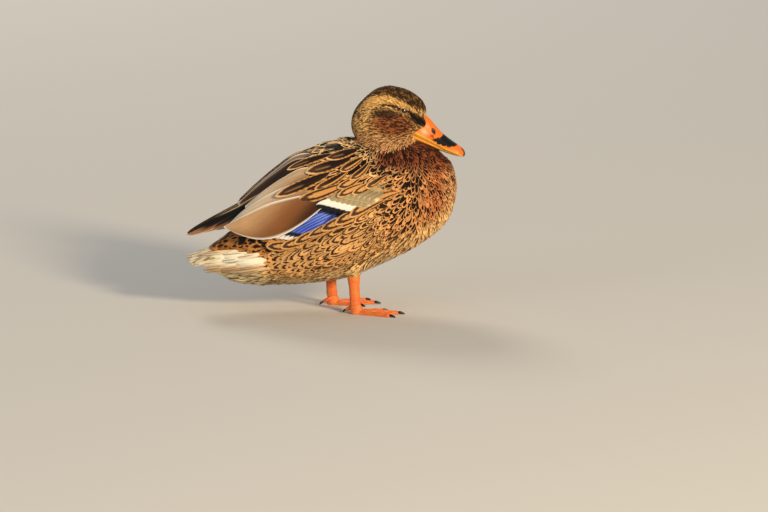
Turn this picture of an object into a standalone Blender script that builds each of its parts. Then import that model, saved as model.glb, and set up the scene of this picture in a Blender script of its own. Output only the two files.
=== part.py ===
"""A standing hen mallard at life size, built as a museum model: solid, still and resting on its two feet.

Axes: +X is the way the bird faces, +Y its left side, +Z up, and z = 0 is the floor under its soles.
Sizes are written in millimetres and turned to Blender's metres where points are made.
Every form is a UV sphere wrapped on a section function: the poles are its two ends, and each ring of
the sphere is one section. Neighbours are cut back by a copy grown by GAP, so no two solids overlap.
"""

import math

import bmesh
import bpy
import numpy as np
from mathutils import Matrix, Vector

MM = 0.001
GAP = 0.35  # clearance between touching pieces

# Driving dimensions.
HEAD_CENTRE = Vector((50.0, 0.0, 203.0))
HEAD_PITCH = math.radians(22)  # the crown-to-bill axis dips this far below the horizon
HEAD_YAW = math.radians(-4)  # the face is turned a little to the bird's right
EYE_RADIUS = 5.0
EYE_PLACE = (12.0, 13.4, 13.7)  # along, out and up in the head's own axes
LEG_SPREAD = 28.0  # from the middle plane to each foot
TARSUS_FORWARD = {"right": 16.5, "left": -8.0}  # the left foot stands a half step behind
ANKLE_HEIGHT = 47.0
INSTEP_HEIGHT = 11.0
FOOT_YAW = {"right": math.radians(-4), "left": math.radians(6)}
SIDES = {"right": -1.0, "left": 1.0}

# Stations: place along the axis, height of the widest line, reach above it, reach below it, half width.
TRUNK = (
    (-124, 56, 0, 0, 0),
    (-114, 56, 21, 22, 22),
    (-94, 58, 42, 31, 37),
    (-60, 70, 66, 44, 49),
    (-25, 82, 86, 54, 55),
    (8, 91, 86, 58, 57),
    (42, 101, 68, 54, 55),
    (75, 112, 54, 49, 49),
    (98, 121, 43, 42, 38),
    (112, 126, 32, 33, 25),
    (121, 129, 0, 0, 0),
)
HEAD = (
    (-34.5, -12, 0, 0, 0),
    (-30, -11, 17, 17, 11),
    (-21, -9, 31, 27, 17),
    (-8, -7, 37, 30, 20.5),
    (6, -5, 37.5, 25, 20.5),
    (18, -3, 34, 19, 17.5),
    (28, -1, 28.5, 15, 13.5),
    (35, 0, 20, 12, 9.5),
    (39.5, 2, 0, 0, 0),
)
NECK = (
    (128, 46, 0, 0, 0),
    (140, 46, 38, 34, 38),
    (158, 46, 37, 33, 36),
    (170, 47, 34, 31, 29),
    (181, 48, 30, 27, 21),
    (190, 49, 0, 0, 0),
)
UPPER_BILL = (
    (22, -3, 0, 0, 0),
    (30, -4.5, 18.5, 5, 8.5),
    (37, -5.5, 19.5, 5, 9.4),
    (45, -6.5, 17.0, 4.4, 9.3),
    (57, -7.6, 12.0, 3.8, 9.9),
    (70, -8.4, 8.8, 3.4, 11.4),
    (80, -8.6, 6.6, 3.0, 10.8),
    (86, -8.8, 3.8, 2.2, 7.0),
    (88.6, -9.0, 0, 0, 0),
)
LOWER_BILL = (
    (24, -9.5, 0, 0, 0),
    (32, -10, 2, 4.2, 7.4),
    (45, -10.6, 2, 3.2, 7.6),
    (70, -10.8, 2, 2.6, 8.8),
    (82, -10.4, 1.6, 1.8, 6.5),
    (85.5, -10.2, 0, 0, 0),
)
# Pads on the trunk: middle and reach along X, middle and reach in degrees, forward rise, depth.
SHOULDER = (-8, 56, 52, 35, 0, 6.0)
FLANK = (6, 74, -12, 29, 26, 5.5)
RUMP = (
    (-78, 92, 0, 0, 0),
    (-88, 86, 14, 16, 22),
    (-105, 76, 12.5, 12, 21),
    (-123, 67, 7, 6, 16),
    (-137, 62.5, 0, 0, 0),
)
VENT = (
    (-78, 42, 0, 0, 0),
    (-90, 42, 14, 15.5, 27),
    (-108, 41.5, 13, 12, 24),
    (-124, 43.5, 9, 6, 18),
    (-141, 49, 0, 0, 0),
)
TARSUS = (
    (57, 0, 0, 0, 0),
    (52, 0, 6.0, 5.6, 4.4),
    (46, 0, 6.2, 5.4, 4.5),
    (38, 0, 4.9, 4.7, 3.5),
    (24, 0, 4.7, 4.6, 3.2),
    (16, 0, 4.9, 4.8, 3.4),
    (8, 0, 5.0, 4.9, 3.6),
    (3, 0, 0, 0, 0),
)
THIGH = (
    (66, 0, 0, 0, 0),
    (57, 0, 18, 18, 15),
    (47, 0, 14, 14, 12),
    (40, 0, 8.5, 9, 8),
    (36, 0, 0, 0, 0),
)

# Feathers that stand as solids, all on the right side: root, middle, tip, half width, outward direction.
BACK_ROUND = 60.0  # the radius that the feathers curve to across the back
TERTIALS = (
    ((-20, -58, 114), (-68, -52, 93), (-119, -28, 90), 18, (0, -0.96, 0.28)),
    ((-22, -52, 134), (-66, -46, 114), (-107, -24, 101), 19, (0, -0.86, 0.50)),
)
SCAPULARS = (
    ((-12, -40, 151), (-52, -35, 137), (-88, -20, 120), 15, (0, -0.72, 0.70)),
    ((-4, -22, 168), (-38, -19, 156), (-72, -11, 138), 14, (0, -0.45, 0.89)),
)
PRIMARIES = (
    ((-50, -22, 139), (-103, -17, 105), (-158, -6, 79), 9, (0, -0.80, 0.60)),
    ((-50, -26, 134), (-98, -22, 102), (-146, -10, 80), 8, (0, -0.80, 0.60)),
    ((-50, -30, 129), (-90, -27, 101), (-133, -15, 83), 8, (0, -0.80, 0.60)),
)
SECONDARIES = (
    ((12, -57, 119), (-24, -58.5, 100), (-62, -51, 85), 9, (0, -1, 0.15)),
    ((16, -58.5, 113), (-14, -60, 96), (-47, -55.5, 84), 9, (0, -1, 0.10)),
)
TAIL_FEATHERS = 9
TAIL_LENGTH = 68.0  # from the middle feather's root

# Toes: turn from the foot's own line (positive is inward), length to the claw, radius at the root.
TOES = {"inner": (30, 31.0, 2.7), "middle": (2, 44.0, 3.0), "outer": (-25, 40.0, 2.8)}
CLAW_LENGTH = 7.0
WEB_THICKNESS = 1.3

PLUMAGE = ("#8a6238", 0.85)
CROWN = ("#6f5230", 0.85)
WING_BROWN = ("#6b4a2e", 0.7)
SPECULUM_BLUE = ("#2f49b8", 0.4)
TAIL_CREAM = ("#cdb98c", 0.8)
BILL_ORANGE = ("#e2761f", 0.45)
LEG_ORANGE = ("#ee5a24", 0.5)
HORN_BLACK = ("#15110f", 0.35)
EYE_BROWN = ("#1c0f08", 0.08)


def clear_scene():
    for old in list(bpy.data.objects):
        bpy.data.objects.remove(old)


def material(finish):
    """A Principled material of that sRGB colour and roughness, made once."""
    hex_colour, roughness = finish
    name = "finish_" + hex_colour[1:]
    found = bpy.data.materials.get(name)
    if found:
        return found
    made = bpy.data.materials.new(name)
    made.use_nodes = True
    shader = made.node_tree.nodes["Principled BSDF"]
    parts = [int(hex_colour[i : i + 2], 16) / 255 for i in (1, 3, 5)]
    linear = [c / 12.92 if c <= 0.04045 else ((c + 0.055) / 1.055) ** 2.4 for c in parts]
    shader.inputs["Base Color"].default_value = (*linear, 1)
    shader.inputs["Roughness"].default_value = roughness
    return made


def smooth_row(stations, place):
    """The station row at this place: widest height, then the three reaches, round where they reach zero.

    A monotone cubic runs through the squares of the reaches, so an end that closes to nothing closes
    like the end of an ellipse.
    """
    rows = np.array(sorted(stations), float)
    at = rows[:, 0]
    values = np.column_stack((rows[:, 1], rows[:, 2:] ** 2))
    step = np.diff(at)
    slope = np.diff(values, axis=0) / step[:, None]
    tangent = np.vstack((slope[:1], np.zeros_like(slope[1:]), slope[-1:]))
    before, after = slope[:-1], slope[1:]
    rising = before * after > 0
    tangent[1:-1][rising] = 2 * before[rising] * after[rising] / (before + after)[rising]
    i = int(np.clip(np.searchsorted(at, place) - 1, 0, len(step) - 1))
    h = step[i]
    s = float(np.clip((place - at[i]) / h, 0, 1))
    row = (
        (2 * s**3 - 3 * s**2 + 1) * values[i]
        + (s**3 - 2 * s**2 + s) * h * tangent[i]
        + (3 * s**2 - 2 * s**3) * values[i + 1]
        + (s**3 - s**2) * h * tangent[i + 1]
    )
    return row[0], *np.sqrt(np.maximum(row[1:], 0))


def section_point(stations, t, angle, grow=0.0, squareness=1.0):
    """(along, out, up) on a form: t runs end to end with rings close together at both ends."""
    first, last = stations[0][0], stations[-1][0]
    reach = grow if last > first else -grow
    along = (first + last) / 2 - (last - first) / 2 * math.cos(math.pi * t)
    widest, above, below, half_width = smooth_row(stations, along)
    out = (half_width + grow * math.sin(math.pi * t)) * math.copysign(
        abs(math.cos(angle)) ** squareness, math.cos(angle)
    )
    lift = above if math.sin(angle) > 0 else below
    up = widest + (lift + grow * math.sin(math.pi * t)) * math.sin(angle)
    return along - reach * math.cos(math.pi * t), out, up


def wrap(name, point_at, around, along, finish):
    """An object whose mesh is a UV sphere with each vertex moved to point_at(t, angle), in millimetres."""
    bm = bmesh.new()
    bmesh.ops.create_uvsphere(bm, u_segments=around, v_segments=along, radius=1.0)
    for vertex in bm.verts:
        t = math.acos(max(-1.0, min(1.0, -vertex.co.z))) / math.pi
        angle = math.atan2(vertex.co.y, vertex.co.x)
        vertex.co = Vector(point_at(t, angle)) * MM
    return finished(name, bm, finish)


def finished(name, bm, finish):
    """Writes the bmesh, turned to face outwards, to a new smooth-shaded object.

    Every quad is split along the same diagonal, so that a grown copy follows the facets of the first.
    """
    bmesh.ops.triangulate(bm, faces=bm.faces, quad_method="FIXED")
    if bm.calc_volume(signed=True) < 0:
        bmesh.ops.reverse_faces(bm, faces=bm.faces)
    mesh = bpy.data.meshes.new(name)
    bm.to_mesh(mesh)
    bm.free()
    mesh.materials.append(material(finish))
    mesh.shade_smooth()
    made = bpy.data.objects.new(name, mesh)
    bpy.context.scene.collection.objects.link(made)
    return made


def helper(made):
    """Marks an object as a tool that shapes others and is no part of the model."""
    made.hide_render = True
    made.display_type = "WIRE"
    return made


def boolean(target, tool, operation):
    step = target.modifiers.new(f"{operation.lower()}_{tool.name}"[:60], "BOOLEAN")
    step.operation = operation
    step.object = tool
    step.solver = "EXACT"


def cut(target, *tools):
    for tool in tools:
        boolean(target, tool, "DIFFERENCE")


def join(target, *tools):
    for tool in tools:
        boolean(target, helper(tool), "UNION")


def trunk_point(t, angle, grow=0.0):
    return section_point(TRUNK, t, angle, grow, 0.92 if angle > 0 else 1.08)


def trunk(name="trunk", grow=0.0):
    return wrap(name, lambda t, a: trunk_point(t, a, grow), 26, 18, PLUMAGE)


def head_to_world(along, out, up):
    """From the head's own axes to the bird's, in millimetres."""
    turn = Matrix.Rotation(HEAD_YAW, 3, "Z") @ Matrix.Rotation(HEAD_PITCH, 3, "Y")
    return HEAD_CENTRE + turn @ Vector((along, out, up))


def head(name="head", grow=0.0):
    def at(t, angle):
        along, out, up = section_point(HEAD, t, angle, grow)
        crown_pinch = 1 - 0.16 * max(0.0, math.sin(angle)) ** 2
        return head_to_world(along, out * crown_pinch, up)

    return wrap(name, at, 22, 15, CROWN)


def bill(name, stations, grow=0.0):
    """The ridge is sharp at the forehead and flattens into a broad spoon towards the nail."""

    def at(t, angle):
        sharpness = 0.75 + 0.6 * (1 - t)
        return head_to_world(*section_point(stations, t, angle, grow, sharpness))

    return wrap(name, at, 12, 12, BILL_ORANGE)


def upright_form(name, stations, grow=0.0):
    """A form along X on the middle plane: the coverts above and below the tail."""
    return wrap(name, lambda t, a: section_point(stations, t, a, grow), 14, 8, PLUMAGE)


def neck():
    """A short collar: its stations run up from inside the breast to inside the head."""

    def at(t, angle):
        height, out, forward = section_point(NECK, t, angle)
        return forward, out, height

    return wrap("neck", at, 18, 6, PLUMAGE)


def eye(side, grow=0.0):
    along, out, up = EYE_PLACE
    centre = head_to_world(along, out * SIDES[side], up)
    radius = EYE_RADIUS + grow

    def at(t, angle):
        ring = radius * math.sin(math.pi * t)
        offset = (ring * math.cos(angle), -radius * math.cos(math.pi * t), ring * math.sin(angle))
        return centre + Vector(offset)

    return wrap(f"eye_{side}" + ("_socket" if grow else ""), at, 10, 7, EYE_BROWN)


def shield(name, side, shape, finish, grow=0.0):
    """A pad of plumage lying on the trunk, rooted in it so that the cut between them is even.

    The shape is its middle and reach along X, the middle and reach of its turn round the trunk in
    degrees, how much that turn rises towards the front, and its depth in millimetres.
    """
    middle, reach, turn, turn_reach, rise, depth = shape
    first, last = TRUNK[0][0], TRUNK[-1][0]

    def trunk_at(x, angle):
        share = (2 * x - first - last) / (last - first)
        t = math.acos(max(-1.0, min(1.0, -share))) / math.pi
        return Vector(trunk_point(t, angle))

    def at(t, angle):
        ring = math.sin(math.pi * t)
        p, q = ring * math.cos(angle), ring * math.sin(angle)
        height = -math.cos(math.pi * t)
        spread = 1 + grow / reach
        x = middle + reach * spread * p
        round_angle = math.radians(turn + rise * p + turn_reach * spread * q)
        here = trunk_at(x, round_angle)
        ahead = trunk_at(x + 1, round_angle) - here
        over = trunk_at(x, round_angle + 0.02) - here
        outward = ahead.cross(over).normalized()
        if outward.y * math.cos(round_angle) + outward.z * math.sin(round_angle) < 0:
            outward = -outward
        here += outward * (-3.0 - grow if height < 0 else grow - 1.0 + (depth + 1.0) * height**0.6)
        return here.x, here.y * SIDES[side], here.z

    return wrap(name, at, 18, 8, finish)


def blade(name, root, middle, tip, half_width, outward, finish, grow=0.0, thickness=1.7):
    """One large feather as a thin lens-shaped blade along a curve through three points."""
    root, middle, tip = Vector(root), Vector(middle), Vector(tip)
    control = middle * 2 - (root + tip) / 2
    line = (tip - root).normalized()
    outward = Vector(outward)
    outward = (outward - line * outward.dot(line)).normalized()
    across = outward.cross(line)

    def at(t, angle):
        share = (1 - math.cos(math.pi * t)) / 2
        breadth = half_width * 1.08 * share**0.5 * max(0.0, 1 - share**3.2) ** 0.62
        spread = (breadth + grow * math.sin(math.pi * t)) * math.cos(angle)
        thick = (thickness + grow) * math.sin(math.pi * t) ** 0.5 * math.sin(angle)
        camber = -spread * spread / (2 * BACK_ROUND)
        spine = root.lerp(control, share).lerp(control.lerp(tip, share), share)
        spine -= line * (grow * math.cos(math.pi * t))
        return spine + across * spread + outward * (thick + camber)

    return wrap(name, at, 7, 7, finish)


def feather_group(name, side, rows, finish, grow=0.0):
    """Large feathers of one kind, overlapping like a closed fan, joined into one solid."""
    mirror = Vector((1, -SIDES[side], 1))
    feathers = []
    for count, (root, middle, tip, half_width, outward) in enumerate(rows):
        points = [Vector(point) * mirror for point in (root, middle, tip)]
        label = name if not count else f"{name}_{count}"
        feathers.append(blade(label, *points, half_width, Vector(outward) * mirror, finish, grow))
    join(feathers[0], *feathers[1:])
    return feathers[0]


def tail(name, grow=0.0):
    """A closed fan as one plate: a shallow ridge and a rounded tip for each feather, outer ones lower."""
    half_waves = TAIL_FEATHERS * math.pi

    def at(t, angle):
        share = (1 - math.cos(math.pi * t)) / 2
        across = 1 - 2 * abs(angle) / math.pi
        ridge = math.cos(half_waves * across)
        fill = math.sin(math.pi * t) ** 0.4
        thick = (1.1 + 0.35 * ridge) * fill * abs(math.sin(angle)) ** 0.5 + grow * math.sin(math.pi * t)
        x = -92 - share * (TAIL_LENGTH - 7 * across**2 + 1.2 * ridge) + grow * math.cos(math.pi * t)
        y = across * ((13 + 16 * share) * fill + grow)
        z = 68 - 12 * share - 5 * share * across**2 + math.copysign(thick, angle)
        return x, y, z

    return wrap(name, at, 4 * TAIL_FEATHERS, 6, TAIL_CREAM)


def upright(name, stations, side, lean, finish, grow=0.0):
    """A limb that stands up from the foot: its stations are heights, and lean moves its top along X."""

    def at(t, angle):
        height, out, forward = section_point(stations, t, angle, grow)
        forward += TARSUS_FORWARD[side] + lean * height / ANKLE_HEIGHT
        return forward, out + SIDES[side] * LEG_SPREAD, height

    return wrap(name, at, 8, 8, finish)


def foot_to_world(side, along, aside, height):
    """From a foot's own axes, where aside is towards the bird's middle, to the bird's axes."""
    turn = Matrix.Rotation(FOOT_YAW[side], 3, "Z")
    place = turn @ Vector((along, -aside * SIDES[side], height))
    return place + Vector((TARSUS_FORWARD[side], SIDES[side] * LEG_SPREAD, 0))


def toe(side, label, turn, length, radius):
    """A toe with faint joints. It reaches a little below the floor, where the foot is cut flat."""
    direction = Vector((math.cos(math.radians(turn)), math.sin(math.radians(turn))))

    def at(t, angle):
        share = (1 - math.cos(math.pi * t)) / 2
        swelling = 1 + 0.1 * math.cos(6 * math.pi * share)
        thick = radius * (1 - 0.38 * share) * swelling * min(1.0, 6 * math.sin(math.pi * t) ** 2) ** 0.5
        reach = direction * (share * length) + direction.orthogonal() * (thick * math.cos(angle))
        height = 0.62 * thick + thick * 0.95 * math.sin(angle)
        return foot_to_world(side, reach.x, reach.y, height)

    return wrap(f"toe_{side}_{label}", at, 6, 8, LEG_ORANGE)


def web(side):
    """The skin between the toes: a flat plate whose front edge sags back between them."""
    turns = [TOES[label][0] for label in ("outer", "middle", "inner")]
    reaches = [TOES[label][1] * 0.94 for label in ("outer", "middle", "inner")]
    steps = 5
    outline = [(-1.5, 3.0), (-1.5, -3.0)]
    for k in range(2):
        for i in range(steps + (k == 1)):
            share = i / steps
            turn = math.radians(turns[k] + (turns[k + 1] - turns[k]) * share)
            edge = reaches[k] + (reaches[k + 1] - reaches[k]) * share
            edge *= 1 - 0.17 * math.sin(math.pi * share)
            outline.append((edge * math.cos(turn), edge * math.sin(turn)))
    bm = bmesh.new()
    corners = [bm.verts.new(foot_to_world(side, x, y, -1) * MM) for x, y in outline]
    sole = bm.faces.new(corners)
    top = bmesh.ops.extrude_face_region(bm, geom=[sole])["geom"]
    raised = [v for v in top if isinstance(v, bmesh.types.BMVert)]
    bmesh.ops.translate(bm, verts=raised, vec=(0, 0, (WEB_THICKNESS + 1) * MM))
    bmesh.ops.recalc_face_normals(bm, faces=bm.faces)
    return finished(f"web_{side}", bm, LEG_ORANGE)


def instep(side, grow=0.0):
    """The heel and the root of the toes, up to a rounded top that the end of the tarsus sits on."""
    stations = (
        (INSTEP_HEIGHT, 0, 0, 0, 0),
        (9, 0, 4.6, 4.4, 3.3),
        (4.5, 0, 7.0, 5.0, 4.4),
        (1.0, 0, 8.0, 5.2, 5.0),
        (-3.0, 0, 0, 0, 0),
    )

    def at(t, angle):
        height, out, forward = section_point(stations, t, angle, grow)
        return foot_to_world(side, forward, out, height)

    return wrap(f"foot_{side}" + ("_tool" if grow else ""), at, 10, 7, LEG_ORANGE)


def hind_toe(side):
    """The small raised toe behind the heel."""

    def at(t, angle):
        share = (1 - math.cos(math.pi * t)) / 2
        thick = 1.9 * (1 - 0.3 * share) * math.sin(math.pi * t) ** 0.5
        along = 1.5 - 12.5 * share
        height = 8.2 - 4.6 * share + thick * math.sin(angle)
        return foot_to_world(side, along, 2.0 + 2.5 * share + thick * math.cos(angle), height)

    return wrap(f"hind_toe_{side}", at, 6, 6, LEG_ORANGE)


def claw(side, label, start, turn, length, radius):
    """A small hooked nail that begins just beyond its toe."""
    direction = Vector((math.cos(math.radians(turn)), math.sin(math.radians(turn))))

    def at(t, angle):
        share = (1 - math.cos(math.pi * t)) / 2
        thick = radius * (1 - share) ** 0.7 * min(1.0, 4 * share) ** 0.5
        reach = direction * (share * length) + direction.orthogonal() * (thick * math.cos(angle))
        height = start[2] - (start[2] - 0.4) * share**2 + thick * math.sin(angle)
        return foot_to_world(side, start[0] + reach.x, start[1] + reach.y, height)

    return wrap(f"claw_{side}_{label}", at, 6, 5, HORN_BLACK)


def floor_cutter():
    """A block whose top is the floor: it leaves the soles flat."""
    bm = bmesh.new()
    place = Matrix.Translation((0, 0, -0.02)) @ Matrix.Diagonal((1, 1, 0.04, 1))
    bmesh.ops.create_cube(bm, size=1.0, matrix=place)
    return helper(finished("floor_cutter", bm, LEG_ORANGE))


def leg(side, body_tools, floor):
    """Thigh, tarsus, foot and four claws of one side."""
    thigh = upright(f"thigh_{side}", THIGH, side, -3, PLUMAGE)
    shank = upright(f"tarsus_{side}", TARSUS, side, -3, LEG_ORANGE)
    shank_tool = helper(upright(f"tarsus_{side}_tool", TARSUS, side, -3, LEG_ORANGE, GAP))
    cut(thigh, *body_tools, shank_tool)
    cut(shank, *body_tools)
    foot = instep(side)
    toes = [toe(side, label, *TOES[label]) for label in TOES]
    join(foot, web(side), *toes, hind_toe(side))
    foot_tool = helper(instep(side, GAP))
    cut(shank, foot_tool)
    cut(foot, floor)
    for label, (turn, length, radius) in TOES.items():
        along = length + GAP
        start = (along * math.cos(math.radians(turn)), along * math.sin(math.radians(turn)), 1.9)
        claw(side, label, start, turn, CLAW_LENGTH, radius * 0.45)
    claw(side, "hind", (-11.4, 4.55, 3.5), 168, 4.0, 1.0)


def shoulder_pad(side, grow):
    """The pad over the shoulder with its long scapulars."""
    ending = "_tool" if grow else ""
    pad = shield(f"shoulder_{side}{ending}", side, SHOULDER, WING_BROWN, grow)
    join(pad, feather_group(f"scapulars_{side}{ending}", side, SCAPULARS, WING_BROWN, grow))
    return pad


def wing(side, trunk_tool):
    """One folded wing in its layers, each cut back by the ones that lie over it."""
    shoulder, shoulder_tool = shoulder_pad(side, 0.0), helper(shoulder_pad(side, GAP))
    flank = shield(f"flank_{side}", side, FLANK, PLUMAGE)
    flank_tool = helper(shield(f"flank_{side}_tool", side, FLANK, PLUMAGE, GAP))
    cut(shoulder, trunk_tool)
    cut(flank, trunk_tool, shoulder_tool)
    over = [trunk_tool, shoulder_tool, flank_tool]
    for kind, rows, finish in (
        ("secondaries", SECONDARIES, SPECULUM_BLUE),
        ("tertials", TERTIALS, WING_BROWN),
        ("primaries", PRIMARIES, HORN_BLACK),
    ):
        feathers = feather_group(f"{kind}_{side}", side, rows, finish)
        cut(feathers, *over)
        over.append(helper(feather_group(f"{kind}_{side}_tool", side, rows, finish, GAP)))
    return shoulder_tool, flank_tool


def set_on_origin():
    """Moves the whole model so that its box stands centred on the origin with its soles at z = 0."""
    graph = bpy.context.evaluated_depsgraph_get()
    corners = []
    for shown in bpy.context.scene.objects:
        if not shown.hide_render:
            mesh = shown.evaluated_get(graph).to_mesh()
            corners += [tuple(v.co) for v in mesh.vertices]
    low, high = np.min(corners, axis=0), np.max(corners, axis=0)
    for each in bpy.context.scene.objects:
        each.location = (-(low[0] + high[0]) / 2, -(low[1] + high[1]) / 2, -low[2])


def main():
    clear_scene()
    trunk()
    trunk_tool = helper(trunk("trunk_tool", GAP))
    skull = head()
    head_tool = helper(head("head_tool", GAP))
    cut(skull, trunk_tool)
    lower_tool = helper(bill("bill_lower_tool", LOWER_BILL, GAP))
    collar = neck()
    cut(collar, trunk_tool, head_tool, lower_tool)
    for side in SIDES:
        eye(side)
        cut(skull, helper(eye(side, GAP)))
    upper = bill("bill_upper", UPPER_BILL)
    cut(upper, head_tool)
    lower = bill("bill_lower", LOWER_BILL)
    cut(lower, head_tool, helper(bill("bill_upper_tool", UPPER_BILL, GAP)))
    rump = upright_form("tail_coverts_upper", RUMP)
    vent = upright_form("tail_coverts_under", VENT)
    rump_tool = helper(upright_form("rump_tool", RUMP, GAP))
    vent_tool = helper(upright_form("vent_tool", VENT, GAP))
    cut(rump, trunk_tool)
    cut(vent, trunk_tool, rump_tool)
    cut(tail("tail"), trunk_tool, rump_tool, vent_tool)
    floor = floor_cutter()
    for side in SIDES:
        shoulder_tool, flank_tool = wing(side, trunk_tool)
        cut(collar, shoulder_tool)
        leg(side, [trunk_tool, flank_tool], floor)
    set_on_origin()


main()
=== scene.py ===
"""The visual model of the female mallard: skin, feathers, bill, eyes and legs over the CAD solids.

Places are worked in millimetres in the bird's own axes (x forwards, y to its left, z up) with x measured
from a point between its shoulders; to_world turns them to the row frame in metres. Places on the head are
(along, out, up) in the head's axes, along towards the bill. Places on a wing are those of the right one,
and flipped turns them to the other side.
"""

import math

import bmesh
import bpy
import numpy as np
from mathutils import Matrix, Vector
from mathutils.bvhtree import BVHTree
from mathutils.kdtree import KDTree


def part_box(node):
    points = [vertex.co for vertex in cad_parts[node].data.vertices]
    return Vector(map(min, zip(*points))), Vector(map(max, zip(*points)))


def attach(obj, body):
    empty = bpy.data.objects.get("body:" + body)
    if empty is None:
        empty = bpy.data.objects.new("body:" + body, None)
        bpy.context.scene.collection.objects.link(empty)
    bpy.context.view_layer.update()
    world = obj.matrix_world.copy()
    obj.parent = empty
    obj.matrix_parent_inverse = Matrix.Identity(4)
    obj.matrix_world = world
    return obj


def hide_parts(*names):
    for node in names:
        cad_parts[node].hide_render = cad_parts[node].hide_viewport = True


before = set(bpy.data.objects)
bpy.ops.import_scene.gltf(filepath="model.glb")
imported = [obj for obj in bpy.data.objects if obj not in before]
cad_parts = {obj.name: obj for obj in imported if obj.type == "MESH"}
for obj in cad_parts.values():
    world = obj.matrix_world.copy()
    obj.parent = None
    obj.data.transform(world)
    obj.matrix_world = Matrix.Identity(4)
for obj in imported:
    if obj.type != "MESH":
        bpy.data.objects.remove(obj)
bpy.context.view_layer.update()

SIDES = {"right": -1.0, "left": 1.0}
FLESH = ["trunk", "neck", "head", "tail_coverts_upper", "tail_coverts_under"]
FLESH += [f"{part}_{side}" for part in ("shoulder", "flank", "thigh") for side in SIDES]

HEAD_CENTRE = np.array([50.0, 0.0, 203.0])
HEAD_PITCH, HEAD_YAW = math.radians(22), math.radians(-4)
HEAD_TURN = np.array(Matrix.Rotation(HEAD_YAW, 3, "Z") @ Matrix.Rotation(HEAD_PITCH, 3, "Y"))
EYE_PLACE = np.array([12.0, 13.4, 13.7])
EYE_BALL = np.array([12.7, 12.0, 11.6])  # low, so that the lower lid crosses the ball under its middle
EYE_SLIT = np.array([13.2, 12.8])  # the middle of the lids' opening: along and up
EYE_RADIUS = 5.0


def from_head(along, out, up):
    return HEAD_CENTRE + HEAD_TURN @ np.array([along, out, up])


def to_head(points):
    """(along, out, up) in the head's own axes for each point."""
    return (points - HEAD_CENTRE) @ HEAD_TURN


EYE_BOX = np.array(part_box("eye_right")) * 1000
SHIFT = (EYE_BOX[0][0] + EYE_BOX[1][0]) / 2 - from_head(EYE_PLACE[0], -EYE_PLACE[1], EYE_PLACE[2])[0]


def to_world(points):
    return (np.asarray(points, float) + (SHIFT, 0, 0)) * 0.001


# ---------------------------------------------------------------- numbers and colours


def unit(rows):
    return rows / np.maximum(np.linalg.norm(rows, axis=-1, keepdims=True), 1e-9)


def across_from(ways, normals):
    """The unit ways nearest to these that are square to the normals."""
    return unit(ways - normals * (ways * normals).sum(axis=-1, keepdims=True))


def ramp(value, start, end):
    """0 before start, 1 after end, smooth between."""
    share = np.clip((np.asarray(value, float) - start) / (end - start), 0, 1)
    return share * share * (3 - 2 * share)


def inside(value, low, high, soft):
    return ramp(value, low - soft, low + soft) * (1 - ramp(value, high - soft, high + soft))


def soft_line(value, place, width, power=2):
    return np.exp(-(((value - place) / width) ** power))


def hermite(s, step, start, end, start_slope, end_slope):
    """The cubic over one step, at the share s of it."""
    at = (2 * s**3 - 3 * s**2 + 1) * start + (s**3 - 2 * s**2 + s) * step * start_slope
    return at + (3 * s**2 - 2 * s**3) * end + (s**3 - s**2) * step * end_slope


def linear(hex_colour):
    """A hex sRGB colour as linear numbers."""
    parts = np.array([int(hex_colour[i : i + 2], 16) / 255 for i in (1, 3, 5)])
    return np.where(parts <= 0.04045, parts / 12.92, ((parts + 0.055) / 1.055) ** 2.4)


def layered(base, *layers):
    """The base with each (colour, share) laid over it in turn. A colour is hex, or in linear numbers."""
    base = linear(base) if isinstance(base, str) else base
    for colour, share in layers:
        share = np.asarray(share)[..., None]
        base = base * (1 - share) + (linear(colour) if isinstance(colour, str) else colour) * share
    return base


# ---------------------------------------------------------------- meshes and objects


def add_object(name, data):
    made = bpy.data.objects.new(name, data)
    bpy.context.scene.collection.objects.link(made)
    return made


def mesh_from(name, bm):
    mesh = bpy.data.meshes.new(name)
    bm.to_mesh(mesh)
    bm.free()
    return mesh


def read_points(mesh, what="co"):
    found = np.empty(len(mesh.vertices) * 3)
    mesh.vertices.foreach_get(what, found)
    return found.reshape(-1, 3)


def clothe(name, mesh, points, surface):
    """The mesh with its vertices moved to these points, as a smooth object in one material."""
    mesh.vertices.foreach_set("co", to_world(points).ravel())
    mesh.update()
    mesh.shade_smooth()
    mesh.materials.clear()
    mesh.materials.append(surface)
    return add_object(name, mesh)


def object_from(name, points, quads, surface):
    """An object from arrays of points and of faces with four corners."""
    mesh = bpy.data.meshes.new(name)
    mesh.vertices.add(len(points))
    mesh.loops.add(quads.size)
    mesh.loops.foreach_set("vertex_index", quads.ravel().astype(np.int32))
    mesh.polygons.add(len(quads))
    mesh.polygons.foreach_set("loop_start", np.arange(0, quads.size, 4, dtype=np.int32))
    mesh.update(calc_edges=True)
    return clothe(name, mesh, points, surface)


def give(mesh, name, values):
    """Stores one value for each vertex: a number, a vector or, by its name, a colour."""
    values = np.asarray(values, float)
    if values.ndim == 1:
        kind, slot = "FLOAT", "value"
    elif name in ("edge", "dark", "paint"):
        kind, slot = "FLOAT_COLOR", "color"
        values = np.column_stack((values, np.ones(len(values))))
    else:
        kind, slot = "FLOAT_VECTOR", "vector"
    mesh.attributes.new(name, kind, "POINT").data.foreach_set(slot, values.ravel())


# ---------------------------------------------------------------- the surface that the feathers lie in

SHOULDER_END = -58  # the long scapulars of the CAD shoulders are cut off behind this x
SKIN_VOXEL, SKIN_SMOOTHING = 2.2, 8


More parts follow.
